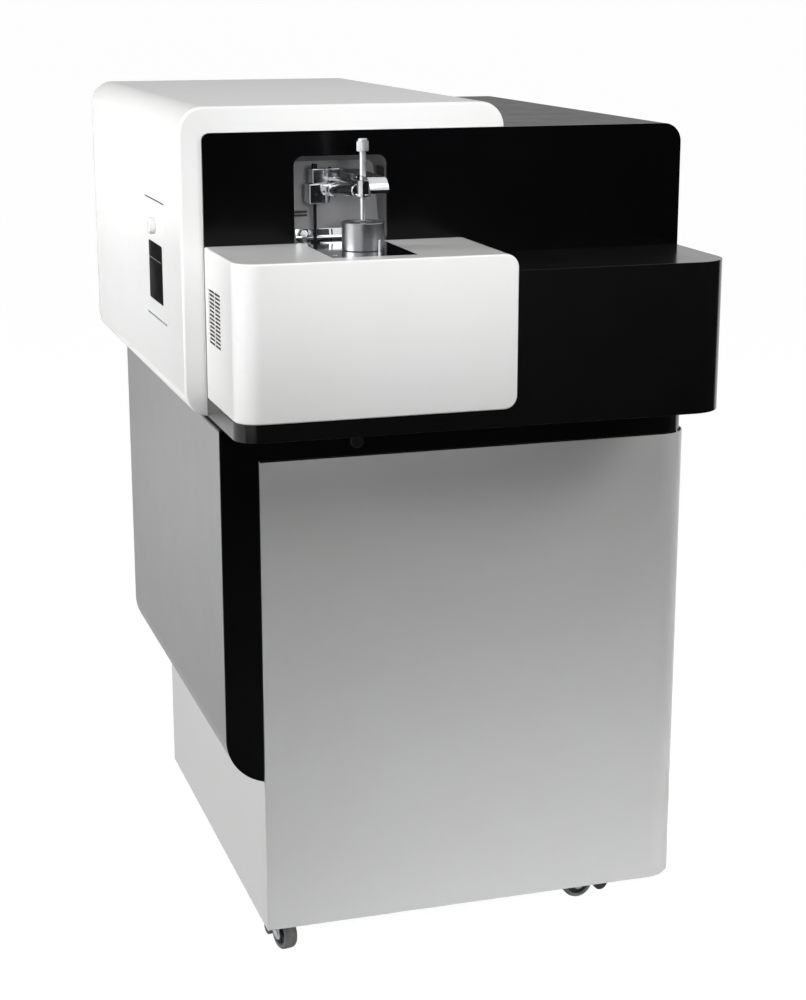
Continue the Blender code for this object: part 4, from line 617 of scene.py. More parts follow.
def makeFrontFrame():
    c, b = corner, band
    (low, top), right, bend, thick = b["z"], b["right"], b["bend"], c["thick"]
    edge, join = b["edgeX"], b["joinX"]
    trimmed = [point for point in cornerArc(0) if point[0] < edge]
    end = c["low"] - sqrt(c["radius"] ** 2 - (c["radius"] - c["out"] - edge) ** 2)
    path = [(join, 0)] + arc(right - bend, bend, bend, -90, 0, 24) + [(right, c["depth"] - air)]
    plate = trimmed + [(edge, end), (edge, low), (join, low), (join, top), (-c["out"], top)]
    bm = merged(extrude(plate, "y", 0, thick, [circle(*b["lock"])]),
                extrude(bentSheet(path, thick), "z", low, top))
    # plate and wrap meet face to face: both end faces go, and their corners are welded
    ends = [face for face in bm.faces if all(abs(vert.co.x / mm - join) < 0.01 for vert in face.verts)]
    bmesh.ops.delete(bm, geom=ends, context="FACES")
    standFor(eased(cleaned(bm, 0.3), 0.7, 3), "front_frame")

    # the black seal, its flanges and the strip down the right wall also paint shade into the gaps round the
    # door
    line = [(thick, b["sealY"])] + arc(right - bend, bend, bend - b["sealY"], -90, -12, 14)
    flanges = [(x, b["flangeY"]) for x in b["flangeX"]] + [(b["sideFlangeX"], b["sideY"])]
    inside, outside = b["bush"]
    bush = [(inside, b["bushLow"]), (outside, b["bushLow"]), (outside, low - air), (inside, low - air)]
    addPiece(merged(extrude(bentSheet(line, b["sealSheet"]), "z", *b["sealZ"]),
                    turn(bush, (*door["rod"], 0), steps=32, closed=True),
                    box(b["sideX"], b["sideY"], (b["sideLow"], b["sealZ"][1])),
                    *[box(*flange, b["flangeZ"]) for flange in flanges]), "front_frame", "sealAndGapShade", "blackAbs")


# Dark plate on the cabinet, and the recessed frame between it and the upper unit
topPlate = dict(x=(-55, 645), bend=50, depth=723, z=(797.3, 800))
plinth = dict(x=(-45, 605), y=(10, 700), z=(800.3, 818.7), radius=1.5, hollowR=1, wall=3)


def makeTopAndPlinth():
    t, p = topPlate, plinth
    (left, right), bend = t["x"], t["bend"]
    outline = [(left, 0)] + arc(right - bend, bend, bend, -90, 0, 24)
    outline += [(right, t["depth"]), (left, t["depth"])]
    standFor(eased(extrude(outline, "z", *t["z"]), 0.7), "cabinet_top")
    hollow = roundRect(p["x"], p["y"], p["hollowR"], 3, -p["wall"])
    ring = extrude(roundRect(p["x"], p["y"], p["radius"], 3), "z", *p["z"], [hollow])
    standFor(eased(ring, 0.4, angle=28), "plinth")


makeHood()
makeRightCover()
makeFascia()
makeConsole()
makeStandBlock()
makeDoor()
makeSideCover()
makeFrontFrame()
makeTopAndPlinth()
print("covers made")


# Screws and nuts: heads that stand on a surface facing one way
def standing(makeOne, places, facing, twist=0):
    aim = aimAlong(facing)
    return merged(*[moved(makeOne(), shiftTo(spot) @ aim @ spin(radians(twist * i % 60), "Z"))
                    for i, spot in enumerate(places)])


screwHeads = {
    # radius, height, drive
    "table": (3.2, 1.6, "hex"), "hub": (1.9, 1, "hex"), "bracket": (2.2, 0.9, "hex"),
    "chamber": (3.2, 2.8, "hex"), "lid": (3.6, 3.2, "hex"), "liner": (2.6, 1.2, "cross"),
    "lowerPanel": (3.4, 1.6, "cross"), "upperPanel": (3.4, 1.1, "cross"), "guard": (3.6, 2, "cross"),
    "inlet": (2.4, 0.9, "cross"), "case": (3, 1.8, "cross"), "terminal": (2.8, 1.2, "cross"),
}
nutSizes = {
    # width across the flats, height, broken edge
    "table": (9.5, 1, 0.5), "caster": (6, 2.2, 0.5), "lock": (19.5, 2.2, 0.5), "cam": (7, 2.2, 0.5),
    "gasOuter": (17.2, 6, 0.8), "gasInner": (17.2, 5.5, 0.8), "valve": (8, 3, 0.5), "electrode": (9, 4, 0.5),
    "stud": (8.5, 3.5, 0.5),
}
upward, downward, frontward, backward, rightward = (0, 0, 1), (0, 0, -1), (0, -1, 0), (0, 1, 0), (1, 0, 0)


def screws(kind, places, facing):
    # each is turned a little differently
    radius, height, drive = screwHeads[kind]

    def one():
        if drive == "hex":
            socket = hexagon(radius * 0.95)
        else:
            a, b = radius * 0.16, radius * 0.62
            socket = [(-a, -b), (a, -b), (a, -a), (b, -a), (b, a), (a, a), (a, b), (-a, b), (-a, a), (-b, a),
                      (-b, -a), (-a, -a)]
        top = extrude(circle(0, 0, radius, 24), "z", height * 0.3, height, [socket])
        eased(top, radius * 0.16, choose=lambda mid: mid.z > height * 0.9 and mid.xy.length > radius * 0.85)
        return merged(top, extrude(circle(0, 0, radius, 24), "z", 0, height * 0.3))

    return standing(one, places, facing, 37)


def nuts(kind, places, facing):
    across, height, edge = nutSizes[kind]

    def one():
        return eased(extrude(hexagon(across), "z", 0, height), edge, choose=lambda mid: mid.z > height * 0.9)

    return standing(one, places, facing)


# The spark hole's place; the stand's pieces are built on the table's top face and lifted there
tableTop = 1048
spark = (124.5, -84.7)


def lifted(bm):
    return moved(bm, shiftTo((0, 0, tableTop)))


# Recess: a folded liner with a leaning back, two screws, a latch bar, and a black patch of painted shade on
# its right wall
recess = dict(x=(54, 183), z=(1045.7, 1163), front=4.3, wall=1.2, backR=11, frontR=13, drop=12, lean=0.322,
              backLow=32.1, foot=0.8, flange=(12, 6.2), screws=[(54, 16, 66), (54, 16, 30)],
              latchAndShadePatch=[((54, 74), (7.5, 12.5), (39.5, 42.5), 0.8), ((54, 74), (7.5, 12.5), (35, 37.5), 0.8),
              ((181.4, 183), (12, 44), (82, 97), 0.5)])


def makeRecess():
    r = recess
    (left, right), (low, top), wall, front, foot = r["x"], r["z"], r["wall"], r["front"], r["foot"]

    def mouth(grow, y):
        radius = r["frontR"] + grow
        return atDepth(roundRect(r["x"], r["z"], (foot, foot, radius, radius), 14, grow), y)

    def back(grow):
        radius = r["backR"] + grow
        outline = roundRect(r["x"], (low, top - r["drop"]), (foot, foot, radius, radius), 14, grow)
        return [(u, r["backLow"] + grow + (v - low) * r["lean"], v) for u, v in outline]

    out, down = r["flange"]
    radii = (foot, foot, r["frontR"], r["frontR"])
    flange = roundRect((left - out, right + out), (low - down, top + out), radii, 14)
    bm = loft([back(0), mouth(0, front), atDepth(flange, front), atDepth(flange, front + wall),
               mouth(wall, front + wall), back(wall)])
    standFor(bm, "recess_liner", smoothAngle=35)
    addPiece(lifted(screws("liner", r["screws"], rightward)), "recess_liner", "screws", "zincPlate")
    # the first two boxes are the latch bar's prongs; the third is a black patch of painted shade on the
    # liner's right wall
    latchAndShadePatch = [eased(box(x, y, z), edge) for x, y, z, edge in r["latchAndShadePatch"]]
    addPiece(lifted(merged(*latchAndShadePatch)), "recess_liner", "latchAndShadePatch", "blackAbs")


# Polished table: bent up at the back, with the spark hole and an exhaust hole at the left;
# on it hex bolts and a dark sight glass on the upstand, and a stop pin at the front
table = dict(x=(64, 178), front=-154, low=1046, thick=2, hole=7, exhaust=(73.5, -131, 3.2), foot=31.9,
             rise=16, bend=8, edge=0.35, boltX=(76, 166), boltUp=10.5, boltIn=2.1,
             glass=[(88, 111, 1), (114, 116, 0.8)], glassUp=(7.8, 16), pin=(128, -148), pinShape=[(0, 0),
             (1.4, 0), (1.4, 19), (0.8, 20), (0, 20)])


def makeTable():
    t = table
    thick, foot, low, lean = t["thick"], t["foot"], t["low"], recess["lean"]
    r, rise = t["bend"] + thick, pi / 2 - atan(lean)
    run = r * (1 - cos(rise)) / sin(rise)
    path = [(t["front"], low)]
    for step in range(13):
        angle = rise * step / 12
        path.append((foot - run + r * sin(angle), low + r * (1 - cos(angle))))
    path.append((foot + t["rise"] * lean, low + t["rise"]))
    x, y, radius = t["exhaust"]
    bm = carved(extrude(bentSheet(path, thick), "x", *t["x"]),
                rod(t["hole"], (*spark, low - past), (*spark, tableTop + past), 40),
                rod(radius, (x, y, low - past), (x, y, tableTop + past), 24))
    standFor(eased(bm, t["edge"]), "stand_table")
    outward = Vector((0, -1, lean)).normalized()
    up = t["boltUp"]
    spots = [Vector((x, foot + up * lean - t["boltIn"], low + up)) for x in t["boltX"]]
    heads = screws("table", [spot + outward for spot in spots], outward)
    addPiece(merged(nuts("table", spots, outward), heads), "stand_table", "bolts", "satinSteel")
    glass = [eased(extrude(roundRect((x0, x1), t["glassUp"], radius, 4), "z", 0, 0.8), 0.3)
             for x0, x1, radius in t["glass"]]
    slope = shiftTo(Vector((0, foot, low)) + outward * thick) @ spin(pi / 2 - atan(lean), "X")
    addPiece(moved(merged(*glass), slope), "stand_table", "glass", "blackGlossLacquer")
    addPiece(turn(t["pinShape"], (*t["pin"], tableTop), steps=20), "stand_table", "pin", "satinSteel")


# Sample: turned disc with tool rings on its top, a broken edge and a shallow dish under the rod
sample = dict(radius=28, low=1048.3, height=36, edge=0.8, dishR=14, dish=1, rings=5, ringHalf=0.4,
              ringDeep=0.15)


def makeSample():
    s = sample
    low, top, edge, rim = s["low"], s["low"] + s["height"], s["edge"], s["radius"] - s["edge"]
    profile = [(0, low), (rim, low), (s["radius"], low + edge), (s["radius"], top - edge), (rim, top)]
    pitch = (rim - s["dishR"]) / (s["rings"] + 1)
    half = s["ringHalf"]
    for i in range(s["rings"]):
        middle = rim - pitch * (i + 1)
        profile += [(middle + half, top), (middle, top - s["ringDeep"]), (middle - half, top)]
    profile += [(s["dishR"], top), (s["dishR"] - s["dish"], top - s["dish"]), (0, top - s["dish"])]
    standFor(turn(profile, (*spark, 0), steps=96), "test_sample", smoothAngle=25)


# Clamp, in heights above the table: thin dark post, hub with its locking screw, bracket, bar, sleeve with a
# collar, and a head with a flange round the rod
clamp = dict(post=(86, 13), postShape=[(0, 0.3), (6.8, 0.3), (7.2, 0.7), (7.2, 2.5), (6.8, 2.9), (3.1, 2.9),
             (2.3, 3.7), (2.3, 50.5), (4, 51.2), (4, 103), (3.2, 104), (0, 104)], postHole=4.3,
             hub=((75, 103), (-2, 26), (52, 78)), hubSlit=((95.3, 96.1), (-4, 30), (50, 80)),
             lockHole=(2.4, (84.7, -4, 65.3), (84.7, 6, 65.3)), bracket=((80, 117), (0, 22), (78.3, 98)),
             bracketSlit=((96.2, 97.6), (-2, 30), (88, 100)),
             bracketNotch=((100.8, 112.5), (-4, 12), (83.5, 94.5)),
             bar=(3.5, (103, 6, 85), (124.5, -78.2, 85), 32, 0.4),
             sleeve=(7.8, (96, 6, 70), (121.5, -66, 74.5), 40, 1.2),
             collar=(8.8, (102, -13.5, 71.2), (104.1, -19.7, 71.6), 40, 0.6),
             boss=((117.5, 131.5), (-58, -30), (81.5, 97.7)), head=[(4.5, 69), (9.8, 69), (10.2, 69.4),
             (10.2, 71.2), (9.8, 71.6), (7.5, 71.8), (7.5, 89.2), (6.7, 90), (4.5, 90)],
             hubScrews=[(94.5, -2, 58.5), (94.5, -2, 72.5)], topScrew=[(108, 16, 98)])


def makeClamp():
    c = clamp
    x, y = c["post"]
    standFor(lifted(turn(c["postShape"], (x, y, 0), steps=32)), "clamp_column")
    hub = carved(eased(box(*c["hub"]), 1.2, 3), rod(c["postHole"], (x, y, 40), (x, y, 120), 32),
                 rod(*c["lockHole"]), box(*c["hubSlit"]))
    bracket = carved(eased(box(*c["bracket"]), 1, 3), rod(c["postHole"], (x, y, 70), (x, y, 120), 32),
                     box(*c["bracketSlit"]), box(*c["bracketNotch"]))
    links = [rod(*c[name]) for name in ("bar", "sleeve", "collar")]
    head = turn(c["head"], (*spark, 0), steps=40, closed=True)
    addPiece(lifted(merged(bracket, *links, eased(box(*c["boss"]), 1), head)), "clamp_arm", "links")
    standFor(lifted(hub), "clamp_arm")
    heads = [screws("hub", c["hubScrews"], frontward), screws("bracket", c["topScrew"], upward)]
    addPiece(lifted(merged(*heads)), "clamp_arm", "screws", "blackOxide")


# Bright cover over the arm: one curved sheet with a rolled front
cover = dict(width=25, front=-160.5, low=1128, top=1147, back=-18, radius=18.5, thick=1, hole=4.5, edge=0.3)


def makeArmCover():
    c = cover
    r, top, half = c["radius"], c["top"], c["width"] / 2
    path = [(c["back"], top)] + arc(c["front"] + r, top - r, r, 90, 180, 20) + [(c["front"], c["low"])]
    bm = extrude(bentSheet(path, c["thick"]), "x", spark[0] - half, spark[0] + half)
    bm = carved(bm, rod(c["hole"], (*spark, top - past), (*spark, top + past), 32))
    standFor(eased(bm, c["edge"]), "arm_cover")


# Rod with its tip and knurled knob, in heights above the table; the knurl's ribs are drawn coarser than the
# real 0.6 mm pitch, which would shimmer
clampRod = dict(rod=[(0, 70.5), (4.2, 70.5), (4.2, 102), (3.9, 102.3), (3.9, 103.1), (4.2, 103.4),
                (4.2, 135.7), (0, 135.7)], tip=[(0, 36.8), (2.2, 36.8), (3, 37.4), (3.75, 39.8),
                (3.75, 67.2), (3.4, 67.6), (3.4, 70.2), (0, 70.2)], cap=[(0, 136), (4.5, 136), (4.5, 140),
                (6, 140), (6, 142.4), (5.5, 143), (0, 143)], ribs=28, ribDeep=0.3, knobR=8,
                skirt=(128, 139), bore=4.5, end=[(4.5, 0), (7.6, 0), (7.8, 1), (4.5, 1)], ends=(127, 139))


def makeClampRod():
    c = clampRod
    standFor(lifted(turn(c["rod"], (*spark, 0), steps=32)), "clamp_rod")
    standFor(lifted(turn(c["tip"], (*spark, 0), steps=32)), "rod_tip")
    outline = []
    for i in range(c["ribs"] * 2):
        radius, angle = c["knobR"] - (c["ribDeep"] if i % 2 else 0), pi * i / c["ribs"]
        outline.append((spark[0] + radius * cos(angle), spark[1] + radius * sin(angle)))
    skirt = extrude(outline, "z", *c["skirt"], [circle(*spark, c["bore"], 28)])
    ends = [turn(c["end"], (*spark, low), steps=40, closed=True) for low in c["ends"]]
    standFor(lifted(merged(skirt, turn(c["cap"], (*spark, 0), steps=40), *ends)), "rod_knob")


# Hatch: white leaf with a flush dark pane, round knob with a coin slot, gasket and hinge knuckle
hatch = dict(face=-99, y=(120.5, 264), z=(927, 1091), corner=2, sheet=1.5, paneY=(142, 242.5),
             paneZ=(949, 1032), paneR=3, lap=5, paneBack=2.3, paneStep=1.2, markY=(154, 241.5),
             markZ=(1007.5, 1008.1), knob=(194.5, 1056), knobShape=[(0, -10), (8.8, -10), (10.4, -9.4),
             (11.5, -7.8), (11.5, -1.4), (10.8, -0.3), (3, -0.3), (3, 6), (0, 6)],
             coinSlot=((-11, -8.4), (-1.2, 1.2), (-7.5, 7.5)), coinTurn=25, arm=(-94.5, -93), armLong=46,
             armHalf=4, pin=(-96, 928), knuckle=[(1.8, 130.5), (3, 130.5), (3, 254), (1.8, 254)], strip=0.8)


def makeHatch():
    h = hatch
    face, inner, r = h["face"], h["face"] + h["sheet"], h["paneR"]
    holes = [roundRect(h["paneY"], h["paneZ"], r, 8), circle(*h["knob"], 3.3)]
    leaf = extrude(roundRect(h["y"], h["z"], h["corner"], 6), "x", face, inner, holes)
    standFor(eased(leaf, 0.4, choose=lambda mid: mid.x < face + 0.1), "filter_door")
    knuckle = turn(h["knuckle"], (h["pin"][0], 0, h["pin"][1]), "y", 20, closed=True)
    addPiece(knuckle, "filter_door", "knuckle")

    flange = roundRect(h["paneY"], h["paneZ"], 2, 4, h["lap"])
    raised = roundRect(h["paneY"], h["paneZ"], r - air, 8, -air)
    pane = fused(extrude(flange, "x", inner + air, inner + h["paneBack"]),
                 extrude(raised, "x", face, inner + h["paneStep"]))
    standFor(eased(pane, 0.3, choose=lambda mid: mid.x < face + 0.1), "filter_pane")
    addPiece(box((face - 0.2, face + 0.3), h["markY"], h["markZ"]), "filter_pane", "mark", "zincPlate")
    # the gasket lies round the pane, and its black strips paint shade into the gap over and under the leaf
    ring = extrude(roundRect(h["paneY"], h["paneZ"], r, 8, 0.2), "x", face + 0.6, inner, [raised])
    y, strip = (h["y"][0] + 3, h["y"][1] - 3), h["strip"]
    gapShadeStrips = [box((face + strip, inner), y, (low, low + strip)) for low in (h["z"][1] + 0.1, h["z"][0] - 0.9)]
    addPiece(merged(ring, *gapShadeStrips), "filter_door", "gasket", "blackAbs")

    y, z = h["knob"]
    coinSlot = moved(box(*h["coinSlot"]), shiftTo((face, y, z)) @ spin(radians(h["coinTurn"]), "X"))
    standFor(carved(turn(h["knobShape"], (face, y, z), "x", 48), coinSlot), "filter_latch")
    arm = roundRect((y, y + h["armLong"]), (z - h["armHalf"], z + h["armHalf"]), (0, 3.6, 3.6, 0), 6)
    addPiece(eased(extrude(arm, "x", *h["arm"]), 0.3), "filter_latch", "arm", "zincPlate")


makeRecess()
makeTable()
makeSample()
makeClamp()
makeArmCover()
makeClampRod()
makeHatch()
print("spark stand and hatch made")


# Casters: ball race under the plate, pressed fork, tyre on a moulded hub, brake pedal at the front
caster = dict(places={"front_left": (31, 62, -78, True), "front_right": (533, 78, 183, True),
                      "rear_left": (45, 625, 100, False), "rear_right": (605, 625, 80, False)},
              plate=(68.7, 71.7), plateHalf=22, plateR=4, boltAt=16.5, king=5, wheelR=25, trail=20,
              race=[(5.3, 60.7), (15, 60.7), (17, 61.3), (18, 62.9), (18, 66.5), (16, 67.9), (14.5, 69.2),
              (5.3, 69.2)], crown=[(0, 56.4), (15.5, 56.4), (17.2, 57.2), (18, 58.4), (18, 59.8),
              (17.4, 60.4), (5, 60.4), (5, 71.4), (0, 71.4)], leg=(10.5, 13), legR=9.5, legTop=58.4,
              legFront=13.5, legBack=-10, pin=(-14, 45), eyeR=4.5, dome=[(0, 3.2), (3, 3), (5.2, 2),
              (6.4, 0.2), (6.6, -1), (0, -1)], pinHead=[(0, 1.2), (1.8, 1), (2.8, 0.2), (2.8, -0.8),
              (0, -0.8)], axleR=4, pinR=2, axleHalf=11.5, tyre=[(18.5, 9.3), (21.2, 10), (23, 9.6),
              (24.3, 8.2), (25, 5.8)], web=[(7, 9.8), (7.8, 9.8), (8.4, 9.2), (9.2, 6.6), (15.6, 6.6),
              (16.8, 8.6), (18.6, 9)], bearing=[(4.3, 9.9), (6.4, 9.9), (6.9, 9.5)],
              rib=((8.6, 16.2), (-8.4, 8.4), (-0.8, 0.8)), ribs=5, lobe=(-19, 18, 11.5), pedalHalf=9.5,
              treads=(186, 202, 218, 234, 250), treadHalf=8)


def bothSides(half):
    # profile of a turned piece that is the same on both sides, from its right half
    return [(u, -v) for u, v in half] + half[::-1]


def makeCaster(name, x, y, heading, brake):
    c = caster
    still = shiftTo((x, y, 0))
    swung = still @ spin(radians(heading), "Z")
    half, low, bolt = c["plateHalf"], c["plate"][0], c["boltAt"]
    outline = roundRect((-half, half), (-half, half), c["plateR"], 6)
    sheet = eased(extrude(outline, "z", *c["plate"], [circle(0, 0, c["king"] + air)]), 0.5)
    standFor(moved(merged(sheet, turn(c["race"], steps=48, closed=True)), still), "caster_plate_" + name)
    spots = [(x + i * bolt, y + j * bolt, low) for i in (-1, 1) for j in (-1, 1)]
    addPiece(nuts("caster", spots, downward), "caster_plate_" + name, "bolts")

    solids = [turn(c["crown"], steps=48)]
    (px, pz), trail, axle, reach = c["pin"], c["trail"], c["wheelR"], c["axleHalf"]
    behind = px - c["eyeR"] if brake else c["legBack"]
    leg = arc(trail, axle, c["legR"], -110, 20, 14)
    leg += [(c["legFront"], c["legTop"]), (behind, c["legTop"]), (behind, pz - c["eyeR"])]
    for side in (-1, 1):
        near, outer = (side * reach for reach in c["leg"])
        solids.append(eased(extrude(leg, "y", *sorted((near, outer))), 0.6, angle=40))
        solids.append(turn([(r, outer + side * rise) for r, rise in c["dome"]], (trail, 0, axle), "y", 32))
        if brake:
            solids.append(turn([(r, outer + side * rise) for r, rise in c["pinHead"]], (px, 0, pz), "y", 20))
    solids.append(rod(c["axleR"], (trail, -reach, axle), (trail, reach, axle)))
    if brake:
        solids.append(rod(c["pinR"], (px, -reach, pz), (px, reach, pz)))
    standFor(moved(merged(*solids), swung), "caster_fork_" + name)

    wheel, hub = "caster_wheel_" + name, (trail, 0, axle)
    standFor(moved(turn(bothSides(c["tyre"]), hub, "y", 72, closed=True), swung), wheel)
    spokes = [moved(eased(box(*c["rib"]), 0.3, 1), shiftTo(hub) @ spin(2 * pi * i / c["ribs"], "Y"))
              for i in range(c["ribs"])]
    web = turn(bothSides(c["web"]), hub, "y", 56, closed=True)
    addPiece(moved(merged(web, *spokes), swung), wheel, "hub", "blackAbs")
    bearing = turn(bothSides(c["bearing"]), hub, "y", 32, closed=True)
    addPiece(moved(bearing, swung), wheel, "bearing", "zincPlate")

    if brake:
        u, v, r = c["lobe"]
        outline = arc(px, pz, c["eyeR"], 0, 180, 10) + arc(u, v, r, 180, 360, 24)
        pedal = extrude(outline, "y", -c["pedalHalf"], c["pedalHalf"], [circle(px, pz, 2.3, 20)])
        treads = []
        for angle in c["treads"]:
            tx, tz = u + r * cos(radians(angle)), v + r * sin(radians(angle))
            treads.append(rod(0.7, (tx, -c["treadHalf"], tz), (tx, c["treadHalf"], tz), 12, 0.3))
        standFor(moved(merged(eased(pedal, 0.8), *treads), swung), "brake_pedal_" + name)


# Lock in the band: black head with its key slot, nut and cam behind; hinge rod with its rings
lock = dict(x=139, z=772, head=[(0, -1.7), (5, -1.7), (5.6, -2.3), (8.7, -2.3), (9.5, -1.6), (9.5, -0.3),
            (8, -0.3), (8, 5.6), (0, 5.6)], key=((-0.6, 0.6), (-3.3, 0.7), (-3.4, 3.4)), camY=(6, 8),
            cam=(-7.2, 34), camHalf=6, camR=(5.5, 5.2, 5.2, 5.5), nuts=((3.4, "lock"), (8, "cam")))
hinge = dict(radius=4, z=(74.3, 796.7), ringLows=(88.5, 698.5), ring=[(3.8, 0), (6.2, 0), (6.6, 0.3),
             (6.6, 0.9), (6.2, 1.2), (3.8, 1.2)])


def makeLockAndHinge():
    k, h = lock, hinge
    seat = shiftTo((k["x"], 0, k["z"]))
    head = carved(turn(k["head"], axis="y", steps=56), box(*k["key"]))
    standFor(moved(head, seat), "door_lock", "blackAbs")
    cam = extrude(roundRect(k["cam"], (-k["camHalf"], k["camHalf"]), k["camR"], 8), "y", *k["camY"])
    fastened = [nuts(kind, [(0, y, 0)], backward) for y, kind in k["nuts"]]
    addPiece(moved(merged(eased(cam, 0.3), *fastened), seat), "door_lock", "cam", "zincPlate")
    x, y = door["rod"]
    rings = [turn(h["ring"], (x, y, low), steps=32, closed=True) for low in h["ringLows"]]
    low, high = h["z"]
    standFor(merged(rod(h["radius"], (x, y, low), (x, y, high), 32, 0.6), *rings), "door_hinge_rod")


# Back panels: slots with round ends, a screw every few hand widths
rear = dict(slotLong=120, slotHigh=5, pitch=16, rows=9, lower=(695.3, 696.8), upper=(720.3, 721.8),
            x=(0, 641.7), z=(51.5, 796.7), fan=(500, 600, 56, 72), gas=(220, 160, 6.3, 24),
            inletX=(105.7, 154.3), inletZ=(145.7, 174.3), lowerSlots=[(240, 560)],
            upperSlots=[(60, 960), (480, 960)], lowerScrewX=(12, 315, 630), lowerScrewZ=(64, 430, 786),
            upperScrews=[(-85, 1020), (0, 1216), (240, 1216), (450, 1184), (602, 1100), (602, 900),
            (-50, 829), (160, 829), (400, 829), (590, 829), (-85, 1170), (-85, 870)],
            angle=[(630, 694.3), (647.6, 694.3), (647.6, 680)], angleZ=(75, 749.5))


def slotRows(starts):
    r = rear
    return [slot(left, low + i * r["pitch"], r["slotLong"], r["slotHigh"], 5)
            for left, low in starts for i in range(r["rows"])]


def makeBackPanels():
    r = rear
    holes = [circle(*r["fan"]), circle(*r["gas"]), roundRect(r["inletX"], r["inletZ"], 0.5, 2)]
    panel = extrude(roundRect(r["x"], r["z"], 1, 3), "y", *r["lower"], holes + slotRows(r["lowerSlots"]))
    standFor(eased(panel, 0.3), "rear_panel_lower")
    spots = [(x, r["lower"][1], z) for x in r["lowerScrewX"] for z in r["lowerScrewZ"]]
    addPiece(screws("lowerPanel", spots, backward), "rear_panel_lower", "screws", "zincPlate")
    # an angle inside the panel's right edge closes the gap to the cabinet's wall
    angle = extrude(bentSheet(r["angle"], 1), "z", *r["angleZ"])
    addPiece(eased(angle, 0.3), "rear_panel_lower", "angle")

    # the upper panel follows the hood's and the right cover's outline
    outline = arc(-65, 853, 34, 180, 270, 12) + [(614, 819)] + arc(587, 1169, 27, 0, 90, 12)
    outline += arc(318, 1196, 34, 0, 90, 12) + arc(-65, 1196, 34, 90, 180, 12)
    standFor(eased(extrude(outline, "y", *r["upper"], slotRows(r["upperSlots"])), 0.3), "rear_panel_upper")
    spots = [(x, r["upper"][1], z) for x, z in r["upperScrews"]]
    addPiece(screws("upperPanel", spots, backward), "rear_panel_upper", "screws", "zincPlate")


# Fan: moulded frame, seven twisted blades, cut guard with its screws; y runs from the frame's front
fan = dict(x=500, z=600, y=(670, 695), half=60, corner=4, bore=56, holeAt=52.5, holeR=2.2, barHalf=56.5,
           strut=3, middle=[(0, 0), (17, 0), (18, 1), (18, 3), (3, 3), (3, 22), (0, 22)], hub=[(3.3, 3.5),
           (18, 3.5), (18, 20.4), (17.4, 21.5), (16.2, 22), (12.5, 22), (12, 21.6), (3.3, 21.6)], blades=7,
           rootR=17.2, tipR=53, rootPitch=52, tipPitch=30, sweep=14, span=16.5, thick=0.7, camber=1.6,
           bladeMiddle=682.75, guard=(697.1, 698.6), rings=((16, 26), (30, 40), (44, 54)), spoke=4)


def fanBlade(start):
    f = fan
    loops = []
    for step in range(8):
        share = step / 7
        radius = f["rootR"] + (f["tipR"] - f["rootR"]) * share
        pitch = radians(f["rootPitch"] + (f["tipPitch"] - f["rootPitch"]) * share)
        chord = f["span"] / sin(pitch)
        near, far = [], []
        for i in range(9):
            s = i / 8 - 0.5
            for side, points in ((1, near), (-1, far)):
                rise = f["camber"] * (1 - 4 * s * s) + side * f["thick"] * (1.1 - 3 * s * s)
                along = chord * s * cos(pitch) - rise * sin(pitch)
                axial = chord * s * sin(pitch) + rise * cos(pitch) - f["camber"] / 2
                angle = start + radians(f["sweep"]) * share + along / radius
                points.append((f["x"] + radius * cos(angle), f["bladeMiddle"] + axial,
                               f["z"] + radius * sin(angle)))
        loops.append(near + far[::-1])
    return loft(loops)


def makeFan():
    f = fan
    x, z, half, strut, (front, back) = f["x"], f["z"], f["half"], f["strut"], f["y"]
    square = roundRect((x, x), (z, z), f["corner"], 6, half)
    corners = [(x + i * f["holeAt"], z + j * f["holeAt"]) for i in (-1, 1) for j in (-1, 1)]
    holes = [circle(x, z, f["bore"], 72)] + [circle(*spot, f["holeR"], 16) for spot in corners]
    solids = [eased(extrude(square, "y", front, back, holes), 0.6)]
    for halfX, halfZ in ((f["barHalf"], strut), (strut, f["barHalf"])):
        solids.append(eased(box((x - halfX, x + halfX), (front, front + strut), (z - halfZ, z + halfZ)), 0.8))
    standFor(merged(*solids, turn(f["middle"], (x, front, z), "y", 48)), "fan_housing")
    blades = [fanBlade(2 * pi * i / f["blades"]) for i in range(f["blades"])]
    hub = turn(f["hub"], (x, front, z), "y", 56, closed=True)
    standFor(merged(hub, *blades), "fan_rotor", smoothAngle=40)

    holes = []
    for inner, outer in f["rings"]:
        clearIn, clearOut = degrees(f["spoke"] / 2 / inner), degrees(f["spoke"] / 2 / outer)
        for start in (0, 90, 180, 270):
            holes.append(arc(x, z, outer, start + clearOut, start + 90 - clearOut, 18)
                         + arc(x, z, inner, start + 90 - clearIn, start + clearIn, 14))
    standFor(eased(extrude(square, "y", *f["guard"], holes), 0.3), "fan_guard")
    spots = [(u, f["guard"][1], v) for u, v in corners]
    addPiece(screws("guard", spots, backward), "fan_guard", "screws", "zincPlate")


# Mains inlet with three pins and its rocker
inlet = dict(x=(106, 154), z=(146, 174), face=700.1, back=672.1, lip=6, lipThick=3, lipR=3,
             socketX=(107, 129), socketZ=(152, 168), socketCut=3.5, socketDeep=20,
             blades=[(111, 158.5), (118, 162), (125, 158.5)], bladeHalf=(1, 2), screwX=(103, 157),
             rockerX=(136, 148), rockerZ=(151, 169), rockerDeep=10, rockerHollow=2, pinY=696.6,
             pinX=(135, 149))


